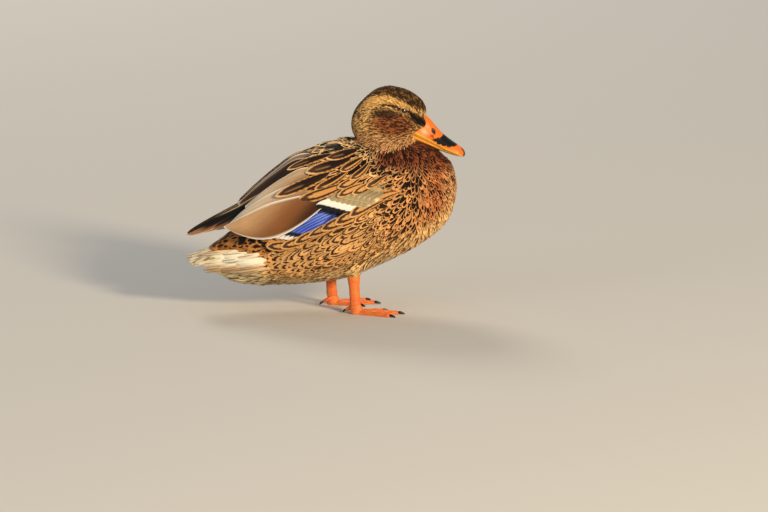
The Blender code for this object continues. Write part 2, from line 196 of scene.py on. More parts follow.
def flesh_copy(name, bm):
    """Adds the CAD node to bm in millimetres."""
    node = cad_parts[name]
    own = bmesh.new()
    own.from_mesh(node.data)
    bmesh.ops.transform(own, matrix=Matrix.Scale(1000, 4) @ node.matrix_world, verts=own.verts)
    bmesh.ops.translate(own, verts=own.verts, vec=(-SHIFT, 0, 0))
    if name.startswith("shoulder"):
        parts = own.verts[:] + own.edges[:] + own.faces[:]
        cut = {"plane_co": (SHOULDER_END, 0, 0), "plane_no": (1, 0, 0), "clear_inner": True}
        bmesh.ops.bisect_plane(own, geom=parts, **cut)
        bmesh.ops.holes_fill(own, edges=[e for e in own.edges if e.is_boundary])
    mesh = mesh_from("flesh_copy", own)
    bm.from_mesh(mesh)
    bpy.data.meshes.remove(mesh)


def remeshed(name, bm, voxel, smoothing):
    """bm as one closed, evenly meshed and smoothed skin."""
    source = add_object(name, mesh_from(name, bm))
    net = source.modifiers.new("net", "REMESH")
    net.mode = "VOXEL"
    net.voxel_size = voxel
    soft = source.modifiers.new("soft", "SMOOTH")
    soft.factor = 0.5
    soft.iterations = smoothing
    graph = bpy.context.evaluated_depsgraph_get()
    mesh = bpy.data.meshes.new_from_object(source.evaluated_get(graph))
    mesh.name = name
    bpy.data.objects.remove(source)
    return mesh


class Surface:
    """A mesh in millimetres that can be asked for its nearest point and smooth normal."""

    def __init__(self, mesh):
        self.points = read_points(mesh)
        self.normals = read_points(mesh, "normal")
        mesh.calc_loop_triangles()
        corners = np.empty(len(mesh.loop_triangles) * 3, np.int32)
        mesh.loop_triangles.foreach_get("vertices", corners)
        self.triangles = corners.reshape(-1, 3)
        self.tree = BVHTree.FromPolygons(self.points.tolist(), self.triangles.tolist())
        self.face_normals = self.normals[self.triangles].mean(axis=1)

    def snap(self, points):
        """The nearest points and the normals there."""
        found = [self.tree.find_nearest(point) for point in points.reshape(-1, 3).tolist()]
        near = np.array([hit[0] for hit in found]).reshape(points.shape)
        return near, unit(self.face_normals[[hit[2] for hit in found]].reshape(points.shape))

    def scatter(self, rng, count, density):
        """Points spread over the mesh, as dense as asked at each triangle's middle."""
        a, b, c = (self.points[self.triangles[:, k]] for k in range(3))
        share = np.linalg.norm(np.cross(b - a, c - a), axis=1) * density((a + b + c) / 3)
        pick = rng.choice(len(share), count, p=share / share.sum())
        s, t = np.sqrt(rng.random(count)), rng.random(count)
        place = a[pick] * (1 - s)[:, None] + b[pick] * (s * (1 - t))[:, None]
        return place + c[pick] * (s * t)[:, None]


def swelling(bm, centre, turn, reach, segments=(24, 16)):
    """Adds an ellipsoid to bm, turned, that reaches so far along each of its axes."""
    ball = bmesh.ops.create_uvsphere(bm, u_segments=segments[0], v_segments=segments[1], radius=1.0)
    place = Matrix.Translation(centre) @ turn.to_4x4() @ Matrix.Diagonal((*reach, 1))
    bmesh.ops.transform(bm, matrix=place, verts=ball["verts"])


def body_mesh():
    """The form under the coat's tips: the CAD's soft parts as one, filled out and smoothed."""
    bm = bmesh.new()
    for name in FLESH:
        flesh_copy(name, bm)
    # The loose breast feathers that the bill rests on fill the hollow under the chin.
    swelling(bm, (80, 0, 160.5), Matrix.Rotation(math.radians(16), 3, "Y"), (29, 27, 16.5), (32, 24))
    head_turn = Matrix(HEAD_TURN.tolist())
    for sign in SIDES.values():
        # A low swelling round the eye also fills the socket behind the eyeball.
        orbit = from_head(EYE_PLACE[0] - 0.5, sign * 8.0, EYE_PLACE[2] - 0.8)
        swelling(bm, orbit, head_turn, (11, 9.6, 9.0))
        # The lores reach forwards over the side of the bill's base.
        swelling(bm, from_head(32.5, sign * 6.3, 4.5), head_turn, (9.5, 4.9, 8.0))
    return remeshed("outer", bm, SKIN_VOXEL, SKIN_SMOOTHING)


outer_mesh = body_mesh()
OUTER = Surface(outer_mesh)

# ---------------------------------------------------------------- markings

# Along the trunk, at each x: its middle's height, how far it reaches up from there, and half its width.
TRUNK_X = (-124, -94, -60, -25, 8, 42, 75, 98, 121)
TRUNK_MIDDLE = (56, 58, 70, 82, 91, 101, 112, 121, 129)
TRUNK_REACH = (20, 38, 56, 70, 72, 62, 52, 42, 20)
TRUNK_WIDTH = (20, 37, 50, 58, 60, 57, 50, 38, 15)
# The crease between the head and the body, from the side.
CREASE_X = (-10, 8, 12, 18, 30, 44, 61, 72, 90)
CREASE_Z = (240, 187, 182, 178, 175, 171, 172, 176, 181)

COLOURS = ("edge", "dark")
# Out from its shaft at 0 to its rim at 1, a feather is dark as far as core, and again from inner to margin.
# The rest has the edge colour, and streak is the share of feathers that are plain dark. Spacing, length,
# half width, the root's depth and the tip's rise are in millimetres. Spacing is across the feathers' way,
# and stretch times as much along it.
BASE = dict(
    edge="#dda769", dark="#3c2413", margin=0.72, inner=0.46, core=0.14, streak=0.03,
    spacing=4.3, stretch=2.3, length=31.0, width=4.5, depth=2.6, rise=0.35,
)  # fmt: skip


def trunk_turn(points):
    """The angle round the trunk in degrees: 90 on the back, 0 at the side, -90 on the belly."""
    x, y, z = points[:, 0], np.abs(points[:, 1]), points[:, 2]
    rise = (z - np.interp(x, TRUNK_X, TRUNK_MIDDLE)) / np.interp(x, TRUNK_X, TRUNK_REACH)
    return np.degrees(np.arctan2(rise, y / np.interp(x, TRUNK_X, TRUNK_WIDTH)))


def over_crease(points):
    """Millimetres above the crease between the head and the body."""
    return points[:, 2] - np.interp(points[:, 0], CREASE_X, CREASE_Z)


def headness(points):
    return ramp(over_crease(points), -0.01, 0.01)


def flank_edge(x):
    """How high the flank's upper edge, over the folded wing, is at x."""
    return np.interp(x, (-60, -41, -20, 6, 27, 48, 66, 80), (80, 86, 97, 110, 123, 135, 143, 148))


class Plumage:
    """What grows at each of these points: the base, with each later tract painted over it."""

    def __init__(self, points):
        self.x, _, self.z = points.T
        self.turn, self.crease = trunk_turn(points), over_crease(points)
        self.on_head = headness(points)
        self.body = 1 - self.on_head
        self.along, out, self.up = to_head(points).T
        self.side = np.abs(out)
        starts = {key: linear(value) if key in COLOURS else value for key, value in BASE.items()}
        self.grown = {key: np.zeros((len(points), *np.shape(start))) + start for key, start in starts.items()}

    def paint(self, mask, **changes):
        for key, value in changes.items():
            old = self.grown[key]
            new = layered(old, (value, mask)) if key in COLOURS else old * (1 - mask) + value * mask
            self.grown[key] = new

    def oval(self, place, reach, tilt):
        """1 inside an oval on the side of the head, with a soft rim. The tilt is in degrees, front up."""
        cos, sin = math.cos(math.radians(tilt)), math.sin(math.radians(tilt))
        a, u = self.along - place[0], self.up - place[1]
        return 1 - ramp(np.hypot((a * cos + u * sin) / reach[0], (u * cos - a * sin) / reach[1]), 0.55, 1.25)


def paint_underside(bird):
    turn = bird.turn
    # Lower flank: smaller, with softer marks.
    bird.paint(
        bird.body * (1 - ramp(turn, -34, -12)), edge="#e0aa66", dark="#5a3820", spacing=3.2, stretch=2.3,
        length=20, width=3.1,
    )
    # Belly: cream with fine streaks, small and soft.
    bird.paint(
        bird.body * (1 - ramp(turn, -52, -26)), edge="#e5c288", dark="#744a28", margin=0.30, inner=0, core=0,
        streak=0.22, spacing=2.1, stretch=2.3, length=13, width=1.35, depth=2.6, rise=0.3,
    )
    # Under the tail: longer, paler and ragged.
    bird.paint(
        bird.body * (1 - ramp(bird.x, -78, -50)) * (1 - ramp(turn, -28, -6)), edge="#ead3a0", dark="#5a3a20",
        margin=0.36, inner=0, core=0, streak=0.25, spacing=2.6, stretch=2.4, length=22, width=1.7, rise=1.2,
    )


def paint_rear(bird):
    # Behind the flank: rufous with dark spots.
    rear = bird.body * (1 - ramp(bird.x, -62, -44)) * ramp(bird.turn, -26, -8)
    bird.paint(
        rear, edge="#d08c49", dark="#38200f", margin=0.42, inner=0, core=0, streak=0.25, spacing=3.2,
        stretch=1.9, length=15, width=2.6, rise=0.4,
    )
    # Rump: dark above.
    rump = rear * ramp(bird.z, 68, 78)
    bird.paint(rump, edge="#a96f3a", dark="#24150c", margin=0.60, spacing=3.6, length=18, width=3.2)


def paint_breast(bird):
    body, turn, x = bird.body, bird.turn, bird.x
    # Breast: rufous with black spots, from the shoulder round the front. The feathers are small before
    # they are dark.
    breast = body * ramp(turn, -46, -20)
    bird.paint(breast * ramp(x, 24, 46), spacing=2.7, stretch=1.7, length=12, width=2.6, depth=2.4, rise=0.25)
    dark_marks = dict(edge="#cf9359", dark="#150a06", margin=0.57, inner=0, core=0, streak=0.16)
    bird.paint(breast * ramp(x, 42, 64), **dark_marks)
    # The front of the breast: finer, and redder above.
    bird.paint(
        body * ramp(x, 72, 100) * ramp(turn, -40, 0), edge="#b56b3b", dark="#241008", margin=0.50,
        spacing=2.0, stretch=1.8, length=9, width=1.6,
    )
    # The very front: paler.
    bird.paint(body * ramp(x, 96, 116) * (1 - ramp(bird.z, 150, 166)), edge="#d8a06a")
    # Lower breast: the rufous fades to cream and the spots to streaks.
    bird.paint(
        body * ramp(x, 44, 76) * inside(turn, -80, -24, 13), edge="#e8bb7c", dark="#74492a", margin=0.32,
        inner=0, core=0, streak=0.2, spacing=2.0, stretch=2.2, length=11, width=1.3, depth=2.4, rise=0.25,
    )


def paint_back(bird):
    body, turn, x, z = bird.body, bird.turn, bird.x, bird.z
    # Mantle between the shoulders: dark with narrow buff edges.
    bird.paint(
        body * ramp(turn, 40, 56) * ramp(x, -60, -20) * (1 - ramp(x, 52, 72)), edge="#f0c488",
        dark="#0c0603", margin=0.70, inner=0, core=0, streak=0.3, spacing=4.8, stretch=1.9, length=24,
        width=4.8, rise=0.4,
    )
    # The collar round the foot of the neck: small feathers.
    collar = body * ramp(bird.crease, -15, -8)
    bird.paint(collar, margin=0.62, inner=0, core=0, spacing=2.0, stretch=1.8, length=10, width=1.8)
    # Scapulars over the folded wing: large, dark brown inside orange-buff edges.
    bird.paint(
        body * inside(turn, 14, 46, 6) * (1 - ramp(x, 26, 44)) * ramp(x, -85, -60), edge="#d3934a",
        dark="#24130b", margin=0.75, inner=0.36, core=0, streak=0.35, spacing=6.4, stretch=1.9, length=30,
        width=6.8, rise=0.5,
    )
    # The bend of the wing: plain olive-grey coverts above the flank's edge.
    bird.paint(
        body * inside(z - flank_edge(x), -4, 10, 2) * inside(x, -10, 50, 5), edge="#b39f78", dark="#8d7b58",
        margin=0.5, inner=0, core=0, streak=0.2, spacing=4.0, stretch=1.5, length=15, width=4.2, rise=0.3,
    )
    # The ruff under the head: dark chestnut.
    bird.paint(
        body * ramp(z, 148, 164) * ramp(x, 28, 44), edge="#7d4022", dark="#1d0e08", margin=0.60, inner=0,
        core=0, streak=0.3, spacing=1.9, stretch=1.8, length=9, width=1.6, depth=2.2, rise=0.25,
    )


def paint_head(bird):
    on_head, along, side, up = bird.on_head, bird.along, bird.side, bird.up
    bird.paint(
        on_head, edge="#e0b06c", dark="#351d0d", margin=0.26, inner=0, core=0, streak=0.34, spacing=0.66,
        stretch=2.4, length=5.2, width=0.46, depth=1.1, rise=0.15,
    )
    # Chin and throat: pale.
    chin = 1 - ramp(up - 0.35 * along, -25, -17)
    bird.paint(on_head * chin, edge="#dfa970", dark="#52301a", streak=0.42)
    # Cheek: reddish brown.
    bird.paint(on_head * bird.oval((11, -4.6), (25, 12.5), 14), edge="#985a32", dark="#2a140b", streak=0.46)
    # Ear coverts: a dark patch behind and below the eye.
    ears = 0.9 * bird.oval((0, 2.8), (15.5, 5.4), 14)
    bird.paint(on_head * ears, edge="#4c2d1c", dark="#1a0f0a", streak=0.6)
    # Pale stripe above the eye, broad behind and narrow in front.
    middle = np.interp(along, (-32, -22, -14, 0, 11, 18, 28), (3, 8.5, 12.5, 16.2, 17.8, 17.6, 15.5))
    half = np.interp(along, (-34, -22, -14, 0, 11, 18, 28), (4.5, 5.8, 5.8, 3.9, 2.6, 1.3, 0.6))
    stripe = soft_line(up, middle, half, 4) * (1 - 0.6 * ramp(along, 14, 24))
    bird.paint(on_head * stripe, edge="#e6b46a", dark="#8d6234", streak=0.20)
    # Crown: dark down to the stripe, and a dark band down the nape.
    above = ramp(up - middle - half, -1.5, 1.5) * ramp(along, -30, -16)
    nape = (1 - ramp(side, 6.0, 10.5)) * (1 - ramp(along, -24, -14))
    bird.paint(on_head * np.maximum(above, nape), edge="#8e673a", dark="#110a06", streak=0.72)
    # Dark line through the eye, meeting the dark lores at the bill.
    line = np.interp(along, (-12, -2, 7, 13, 20, 26, 34), (8.6, 11.0, 12.6, 12.9, 12.0, 9.3, 6.5))
    thick = np.interp(along, (-12, -2, 7, 15, 21, 27, 34), (0.5, 0.8, 1.1, 1.1, 1.5, 3.2, 4.4))
    eye_line = soft_line(up, line, thick, 4) * ramp(along, -12, -6) * ramp(side, 4, 7)
    bird.paint(on_head * eye_line, edge="#23150e", dark="#120b08", streak=0.85)
    # Round the eye the feathers are very small, and the nearest the shortest.
    apart = np.hypot(along - EYE_SLIT[0], up - EYE_SLIT[1])
    round_eye = on_head * (1 - ramp(apart, 4.5, 9)) * ramp(side, 5, 8)
    bird.paint(round_eye, spacing=0.6, stretch=1.6, width=0.38, rise=0.1, depth=0.6)
    bird.paint(round_eye > 0, length=np.clip(0.75 * (apart - 2.6), 1.4, 5.4))


def plumage(points):
    """What grows at each point, as a dict of arrays."""
    bird = Plumage(points)
    for paint_tract in (paint_underside, paint_rear, paint_breast, paint_back, paint_head):
        paint_tract(bird)
    return bird.grown


def flow(points, normals):
    """The way that the feathers point: back from the bill, down from the neck, back along the body."""
    x, z = points[:, 0], points[:, 2]
    on_head, turn = headness(points)[:, None], trunk_turn(points)
    behind = ramp(-to_head(points)[:, 0], 0, 30)[:, None]
    low = (1 - ramp(over_crease(points), 2, 9))[:, None]
    head_way = unit(points - from_head(46, 0, -2)) + behind * (0, 0, -0.7) + low * (0, 0, -0.9)
    steep = inside(turn, -45, 60, 14) * ramp(x, -75, -30)
    along_body = np.column_stack((np.full(len(x), -0.94), np.zeros(len(x)), -0.20 - 0.32 * steep))
    front = np.maximum(ramp(x, 48, 96), ramp(z, 150, 166) * ramp(x, 14, 30))[:, None]
    body_way = along_body * (1 - front) + unit(points - (46.0, 0.0, 196.0)) * front
    return across_from(body_way * (1 - on_head) + head_way * on_head, normals)


# ---------------------------------------------------------------- meshes made of many vanes


def unwrap(points):
    """A cylinder unwrap of the skin round its own axes: the body below, the head above.

    The body's x from -165 to 135, and the head's along from -40 to 50, fill its width inside a rim.
    """
    turn = np.arctan2(points[:, 2] - np.interp(points[:, 0], TRUNK_X, TRUNK_MIDDLE), points[:, 1])
    body = np.column_stack((0.03 + 0.94 * (points[:, 0] + 165) / 300, 0.03 + 0.57 * (turn / math.tau + 0.5)))
    along, out, up = to_head(points).T
    turn = np.arctan2(up + 4, out)
    head = np.column_stack((0.03 + 0.94 * (along + 40) / 90, 0.65 + 0.31 * (turn / math.tau + 0.5)))
    return np.clip(np.where(headness(points)[:, None] > 0.5, head, body), 0.01, 0.985)


def vane_quads(rows, columns):
    """One vane: a cambered top, and a flat strip under it that closes it."""
    wide = columns + 1
    top = [(r * wide + c, r * wide + c + 1) for r in range(rows) for c in range(columns)]
    under = (rows + 1) * wide
    quads = [(a, b, b + wide, a + wide) for a, b in top]
    return np.array(quads + [(a + 1, a, a + 2, a + 3) for a in range(under, under + 2 * rows, 2)])


def vanes(name, tops, unders, attributes, patch, surface):
    """One object from many vanes: tops (n, rows+1, cols+1, 3), unders (n, rows+1, 2, 3).

    patch holds each vane's place on the unwrap and its size there.
    """
    count, rows, columns = tops.shape[0], tops.shape[1] - 1, tops.shape[2] - 1
    points = np.concatenate((tops.reshape(count, -1, 3), unders.reshape(count, -1, 3)), axis=1)
    starts = np.arange(count) * points.shape[1]
    quads = (vane_quads(rows, columns) + starts[:, None, None]).reshape(-1, 4)
    made = object_from(name, points.reshape(-1, 3), quads, surface)
    for key, values in attributes.items():
        give(made.data, key, values)
    s, t = np.meshgrid(np.linspace(0, 1, columns + 1), np.linspace(0, 1, rows + 1))
    ends = np.column_stack((np.tile((0, 1), rows + 1), np.repeat(t[:, 0], 2)))
    own = np.concatenate((np.column_stack((s.ravel(), t.ravel())), ends))
    place = (patch[0][:, None] + own * patch[1][:, None, None]).reshape(-1, 2)
    made.data.uv_layers.new(name="OFBake").data.foreach_set("uv", place[quads.reshape(-1)].ravel())
    return made


BARB_SWEEP = 0.9  # how far towards the tip a barb runs for each millimetre that it goes aside


def barb_lengths(length, width, steps, across):
    """Millimetres along the shaft where each vertex's barb leaves it, for (n, 1) lengths and half widths."""
    count = len(length)
    tops = length[:, :, None] * steps[None, :, None] - BARB_SWEEP * width[:, :, None] * np.abs(across)
    return np.concatenate((tops.reshape(count, -1), tops[:, :, [0, -1]].reshape(count, -1)), axis=1).ravel()


def thinned(points, ways, spacing, stretch, rng):
    """Indices of points kept clear of each other: by the spacing across their way, and more along it."""
    tree = KDTree(len(points))
    for i, point in enumerate(points.tolist()):
        tree.insert(point, i)
    tree.balance()
    alive = np.ones(len(points), bool)
    kept = []
    for i in rng.permutation(len(points)):
        if not alive[i]:
            continue
        kept.append(i)
        near = [hit[1] for hit in tree.find_range(points[i].tolist(), spacing[i] * stretch[i])]
        apart = points[near] - points[i]
        along = apart @ ways[i]
        across = (apart**2).sum(axis=1) - along**2
        clear = np.minimum(spacing[near], spacing[i])
        alive[np.array(near)[across + (along / stretch[i]) ** 2 < clear**2]] = False
    return np.array(kept)


# How much neighbouring small feathers differ: shares of the value itself, and the height in millimetres.
LENGTH_VARIES, WIDTH_VARIES, WAY_VARIES, RIM_VARIES = 0.12, 0.08, 0.16, 0.10
EDGE_VARIES, DARK_VARIES = 0.13, 0.15
HEIGHT_VARIES = 0.12
SMALL_THICKNESS = 0.12
SMALL_PATCH = 0.003  # the size of a small feather's place on the unwrap


def vane_outline(steps):
    """The share of its full width that a small feather has at each step, rounded at both ends."""
    swell = np.where(steps < 0.5, 0.45 + 0.55 * np.sin(np.pi * np.minimum(steps, 0.5)), 1.0)
    tip = np.clip((steps - 0.5) / 0.5, 0, 1)
    return swell * np.sqrt(np.maximum(1 - tip**2.2, 0.012))


def shafts(roots, normals, way, length, steps):
    """The shafts over the body from these roots: at each step the point, its normal and the way aside."""
    place, normal = roots, normals
    found = [(place, normal, np.cross(way, normal))]
    for share in np.diff(steps):
        place, normal = OUTER.snap(place + way * (length * share))
        way = across_from(way * 0.7 + flow(place, normal) * 0.3, normal)
        found.append((place, normal, np.cross(way, normal)))
    return (np.stack(part, axis=1) for part in zip(*found))


def coat_colours(grown, on_head, rng):
    """Each feather's two colours and the ends of its bands, varied from feather to feather."""
    count = len(on_head)
    plain = rng.random(count) < grown["streak"]
    edge = np.clip(grown["edge"] * (1 + EDGE_VARIES * rng.standard_normal((count, 1))), 0, 1)
    edge = layered(edge, (grown["dark"], np.where(plain & on_head, 0.85, 0.0)))
    dark = np.clip(grown["dark"] * (1 + DARK_VARIES * rng.standard_normal((count, 1))), 0, 1)
    shift = (0.10 + 0.10 * (grown["width"] < 3.5)) * rng.standard_normal(count)
    inner = np.where(plain | (rng.random(count) < 0.03), 0, grown["inner"])
    inner = inner + 0.07 * rng.standard_normal(count)
    margin = np.where(plain, np.minimum(grown["margin"] * 1.25, 0.85), grown["margin"])
    return edge, dark, np.column_stack((margin + shift, inner + shift, grown["core"] + 1.5 * shift))


def coat(name, roots, normals, rows, columns, wrap):
    """Small feathers from these roots, each along the lie of the coat. With wrap its sides hug the form."""
    rng = np.random.default_rng(len(name))
    grown, count = plumage(roots), len(roots)
    length = grown["length"][:, None] * (1 + LENGTH_VARIES * rng.standard_normal((count, 1)))
    width = grown["width"][:, None] * (1 + WIDTH_VARIES * rng.standard_normal((count, 1)))
    steps = np.linspace(0, 1, rows + 1) ** 0.8
    across = np.linspace(-1, 1, columns + 1)
    outline = vane_outline(steps)
    way = flow(roots, normals)
    way = way + np.cross(normals, way) * (WAY_VARIES * rng.standard_normal((count, 1)))
    spine, spine_normals, aside = shafts(roots, normals, way, length, steps)
    ragged = 1 + RIM_VARIES * rng.standard_normal((count, rows + 1, columns + 1)) * np.abs(across)
    spread = width[:, :, None] * outline[:, None] * across * ragged
    tops = spine[:, :, None] + aside[:, :, None] * spread[..., None]
    if wrap:
        tops, top_normals = OUTER.snap(tops)
    else:
        top_normals = np.repeat(spine_normals[:, :, None], columns + 1, axis=2)
        tops = tops - top_normals * (spread**2 / 40)[..., None]
    # Each root is sunk into the coat, and each tip rises clear of the feather behind.
    depth, rise = grown["depth"][:, None, None], grown["rise"][:, None, None]
    level = -depth * (1 - steps[:, None]) ** 1.3 + rise * steps[:, None] ** 2
    level = level + HEIGHT_VARIES * rng.standard_normal((count, 1, 1)) * np.minimum(depth / 2, 1)
    camber = 0.06 * width[:, :, None] * (1 - across**2) * outline[:, None]
    unders = tops[:, :, [0, -1]] + top_normals[:, :, [0, -1]] * (level - SMALL_THICKNESS)[..., None]
    tops = tops + top_normals * (level + camber)[..., None]
    # The bands of colour follow the rim: q is 1 on the rim and 0 on the shaft.
    beyond = np.clip((steps - 0.5) / 0.5, 0, 1)[:, None]
    rim = np.sqrt((across * outline[:, None]) ** 2 + beyond**2.6 * 0.97)
    q = np.concatenate((rim.ravel(), np.ones(2 * (rows + 1))))
    attributes = {"q": np.tile(q, count), "barb": barb_lengths(length, width, steps, across)}
    for key, values in zip(("edge", "dark", "bands"), coat_colours(grown, headness(roots) > 0.5, rng)):
        attributes[key] = np.repeat(values, len(q), axis=0)
    return vanes(name, tops, unders, attributes, (unwrap(roots), np.full(count, SMALL_PATCH)), FEATHER)


# ---------------------------------------------------------------- materials

BARB_PERIOD = 0.75  # millimetres between the barbs that show
RELIEF_DEPTH = 0.0003
MIX_A, MIX_B, MIX_RESULT = 6, 7, 2  # the sockets of a Mix node that are colours
# Patterns, in periods to a metre.
MARK_GRAIN = 620  # the uneven edges of the dark marks, 1.6 mm
BARBULE_GRAIN = 1500  # fine tone and relief within a feather, 0.7 mm
PAINT_GRAIN = 900  # the same on the large feathers and the bill, 1.1 mm
SKIN_GRAIN, LID_GRAIN = 700, 1500  # 1.4 mm and 0.7 mm
LEG_SCALES = 620  # 1.6 mm
LEG_TONES, LEG_HUES = 160, 110  # the legs' uneven shade, 6 mm, and hue, 9 mm


def material(name, finish):
    """A new material and its shader, with the finish as its inputs."""
    made = bpy.data.materials.new(name)
    made.use_nodes = True
    shader = made.node_tree.nodes["Principled BSDF"]
    for key, value in finish.items():
        shader.inputs[key].default_value = value
    return made, shader


def node(tree, kind, inputs, output=0, **settings):
    """Adds a node with its settings and inputs, each a value or a link, and returns one of its outputs."""
    made = tree.nodes.new("ShaderNode" + kind)
    for key, value in settings.items():
        setattr(made, key, value)
    for key, value in inputs.items():
        if isinstance(value, bpy.types.NodeSocket):
            tree.links.new(value, made.inputs[key])
        else:
            made.inputs[key].default_value = value
    return made.outputs[output]


def barbs(tree):
    """A wave from -1 to 1 across the barbs, and 0 on a mesh that has none."""
    barb = node(tree, "Attribute", {}, "Fac", attribute_name="barb")
    turns = node(tree, "Math", {0: barb, 1: math.tau / BARB_PERIOD}, operation="MULTIPLY")
    return node(tree, "Math", {0: turns}, operation="SINE")


def dress(tree, shader, colour, height, strength, depth=RELIEF_DEPTH):
    """Gives the shader its colour, a dict of Color and Value, and a relief of this height."""
    tree.links.new(node(tree, "HueSaturation", colour), shader.inputs["Base Color"])
    bump = node(tree, "Bump", {"Strength": strength, "Distance": depth, "Height": height})
    tree.links.new(bump, shader.inputs["Normal"])


def feather_material():
    """Soft body feather: matt, with a faint sheen. The dark marks follow the rim of each vane and have
    uneven edges, and fine barbs break up the light."""
    finish = {"Roughness": 0.8, "Specular IOR Level": 0.15, "Sheen Weight": 0.05, "Sheen Roughness": 0.5}
    made, shader = material("plumage", finish)
    tree = made.node_tree
    place = node(tree, "TexCoord", {}, "Object")
    uneven = node(tree, "TexNoise", {"Vector": place, "Scale": MARK_GRAIN})
    ragged = node(tree, "Math", {0: uneven, 1: 0.34, 2: -0.17}, operation="MULTIPLY_ADD")
    q = node(tree, "Attribute", {}, "Fac", attribute_name="q")
    q = node(tree, "Math", {0: q, 1: ragged}, operation="ADD")
    bands = node(tree, "Attribute", {}, "Vector", attribute_name="bands")
    within = []
    for end in node(tree, "SeparateXYZ", {0: bands}).node.outputs:
        short = node(tree, "Math", {0: end, 1: q}, operation="SUBTRACT")
        sharp = {0: short, 1: 9.0, 2: 0.5}
        within.append(node(tree, "Math", sharp, operation="MULTIPLY_ADD", use_clamp=True))
    ring = node(tree, "Math", {0: within[0], 1: within[1]}, operation="SUBTRACT")
    share = node(tree, "Math", {0: ring, 1: within[2]}, operation="ADD", use_clamp=True)
    edge, dark = (node(tree, "Attribute", {}, "Color", attribute_name=name) for name in COLOURS)
    blend = node(tree, "Mix", {0: share, MIX_A: edge, MIX_B: dark}, MIX_RESULT, data_type="RGBA")
    fine = node(tree, "TexNoise", {"Vector": place, "Scale": BARBULE_GRAIN, "Detail": 1.0})
    relief = node(tree, "Math", {0: barbs(tree), 1: 0.16, 2: fine}, operation="MULTIPLY_ADD")
    # The colour is lighter where the relief stands up: random tone from the grain, and painted shade in the
    # grooves between the barbs.
    tone_and_shade = node(tree, "Math", {0: relief, 1: 0.55, 2: 0.72}, operation="MULTIPLY_ADD")
    dress(tree, shader, {"Color": blend, "Value": tone_and_shade}, relief, 0.3)
    return made


def painted_material(name, finish, grain=PAINT_GRAIN, strength=0.15):
    """A surface that takes its colour from its paint attribute, uneven and in relief by a fine grain."""
    made, shader = material(name, {"Coat Roughness": 0.25, "Specular IOR Level": 0.2} | finish)
    tree = made.node_tree
    place = node(tree, "TexCoord", {}, "Object")
    uneven = node(tree, "TexNoise", {"Vector": place, "Scale": grain})
    fine = node(tree, "Math", {0: barbs(tree), 1: 0.22, 2: uneven}, operation="MULTIPLY_ADD")
    # The colour is lighter where the relief stands up: random tone from the grain and, on the large feathers,
    # painted shade in the grooves between the barbs.
    tone_and_shade = node(tree, "Math", {0: fine, 1: 0.3, 2: 0.85}, operation="MULTIPLY_ADD")
    paint = node(tree, "Attribute", {}, "Color", attribute_name="paint")
    dress(tree, shader, {"Color": paint, "Value": tone_and_shade}, fine, strength)
    return made


def leg_material():
    """Scaly skin of the legs: orange-red with a soft gleam, with painted shade in the grooves between scales.
    """
    finish = {"Roughness": 0.45, "Subsurface Weight": 0.08, "Subsurface Radius": (0.003, 0.001, 0.0005)}
    made, shader = material("leg_skin", finish)
    tree = made.node_tree
    place = node(tree, "TexCoord", {}, "Object")
    cells = {"Vector": place, "Scale": LEG_SCALES}
    groove = node(tree, "TexVoronoi", cells, "Distance", feature="DISTANCE_TO_EDGE")
    scale = node(tree, "Math", {0: groove, 1: 4.0}, operation="MULTIPLY", use_clamp=True)
    # Painted shade: the colour is darker in the grooves between the scales, which the relief also sinks.
    tone = node(tree, "Math", {0: scale, 1: 0.35, 2: 0.70}, operation="MULTIPLY_ADD")
    patches = node(tree, "TexNoise", {"Vector": place, "Scale": LEG_TONES})
    uneven = node(tree, "Math", {0: patches, 1: 0.35, 2: 0.82}, operation="MULTIPLY_ADD")
    value = node(tree, "Math", {0: tone, 1: uneven}, operation="MULTIPLY")
    broad = node(tree, "TexNoise", {"Vector": place, "Scale": LEG_HUES})
    warm = node(tree, "Math", {0: broad, 1: 0.05, 2: 0.478}, operation="MULTIPLY_ADD")
    colour = {"Color": (*linear("#f67b34"), 1), "Value": value, "Hue": warm}
    dress(tree, shader, colour, scale, 0.5, 0.0004)
    return made


FEATHER = feather_material()
# Bare skin under the coat is dull and rough; bare_skin paints it darker than the feathers, as painted shade
# between them.
SKIN = painted_material("skin", {"Roughness": 0.9}, SKIN_GRAIN, 0.3)
# Flight feathers are smoother and firmer than the coat, with barbs that catch the light.
VANE = painted_material("flight_feather", {"Roughness": 0.6})
# The speculum's vanes have a silky metallic gloss, which lights the blue.
BLUE = painted_material("speculum", {"Roughness": 0.38, "Metallic": 0.15, "Specular IOR Level": 0.4})
# The bill is horny skin: smooth and waxy, with broad highlights.
BILL = painted_material(
    "bill_skin", {"Roughness": 0.36, "Coat Weight": 0.1, "Specular IOR Level": 0.3}, strength=0.1
)
# The eye is wet: one sharp highlight on near black.
WET = painted_material(
    "wet_eye", {"Roughness": 0.06, "Coat Weight": 1.0, "Specular IOR Level": 0.5}, strength=0
)
# The lids are bare wrinkled skin at the rim, with no shine.
LID = painted_material("lid_skin", {"Roughness": 0.7}, LID_GRAIN, 0.3)
LEG = leg_material()
# The claws are black horn, fairly glossy, so that they show against the orange toes.
CLAW, _ = material("claw_horn", {"Base Color": (*linear("#0c0907"), 1), "Roughness": 0.35})
# The floor is matt grey paper, which shows the shadow and nothing else.
FLOOR, _ = material("studio_floor", {"Base Color": (*linear("#d2cfc9"), 1), "Roughness": 0.9})

# ---------------------------------------------------------------- skin and coat

COAT_SEED = 11
CANDIDATES = 210000  # places tried for a feather, before they are thinned to their spacing
EYE_OPENING = (3.5, 2.0)  # reaches along and up from the slit's middle, kept free of feathers
BILL_EDGE, BILL_REACH = 33.5, (8.3, 14)  # ahead of this no feather starts within these reaches out and up
BREAST_START = 38  # x
BACK_TURN, BELLY_TURN = 12, -35  # degrees round the trunk


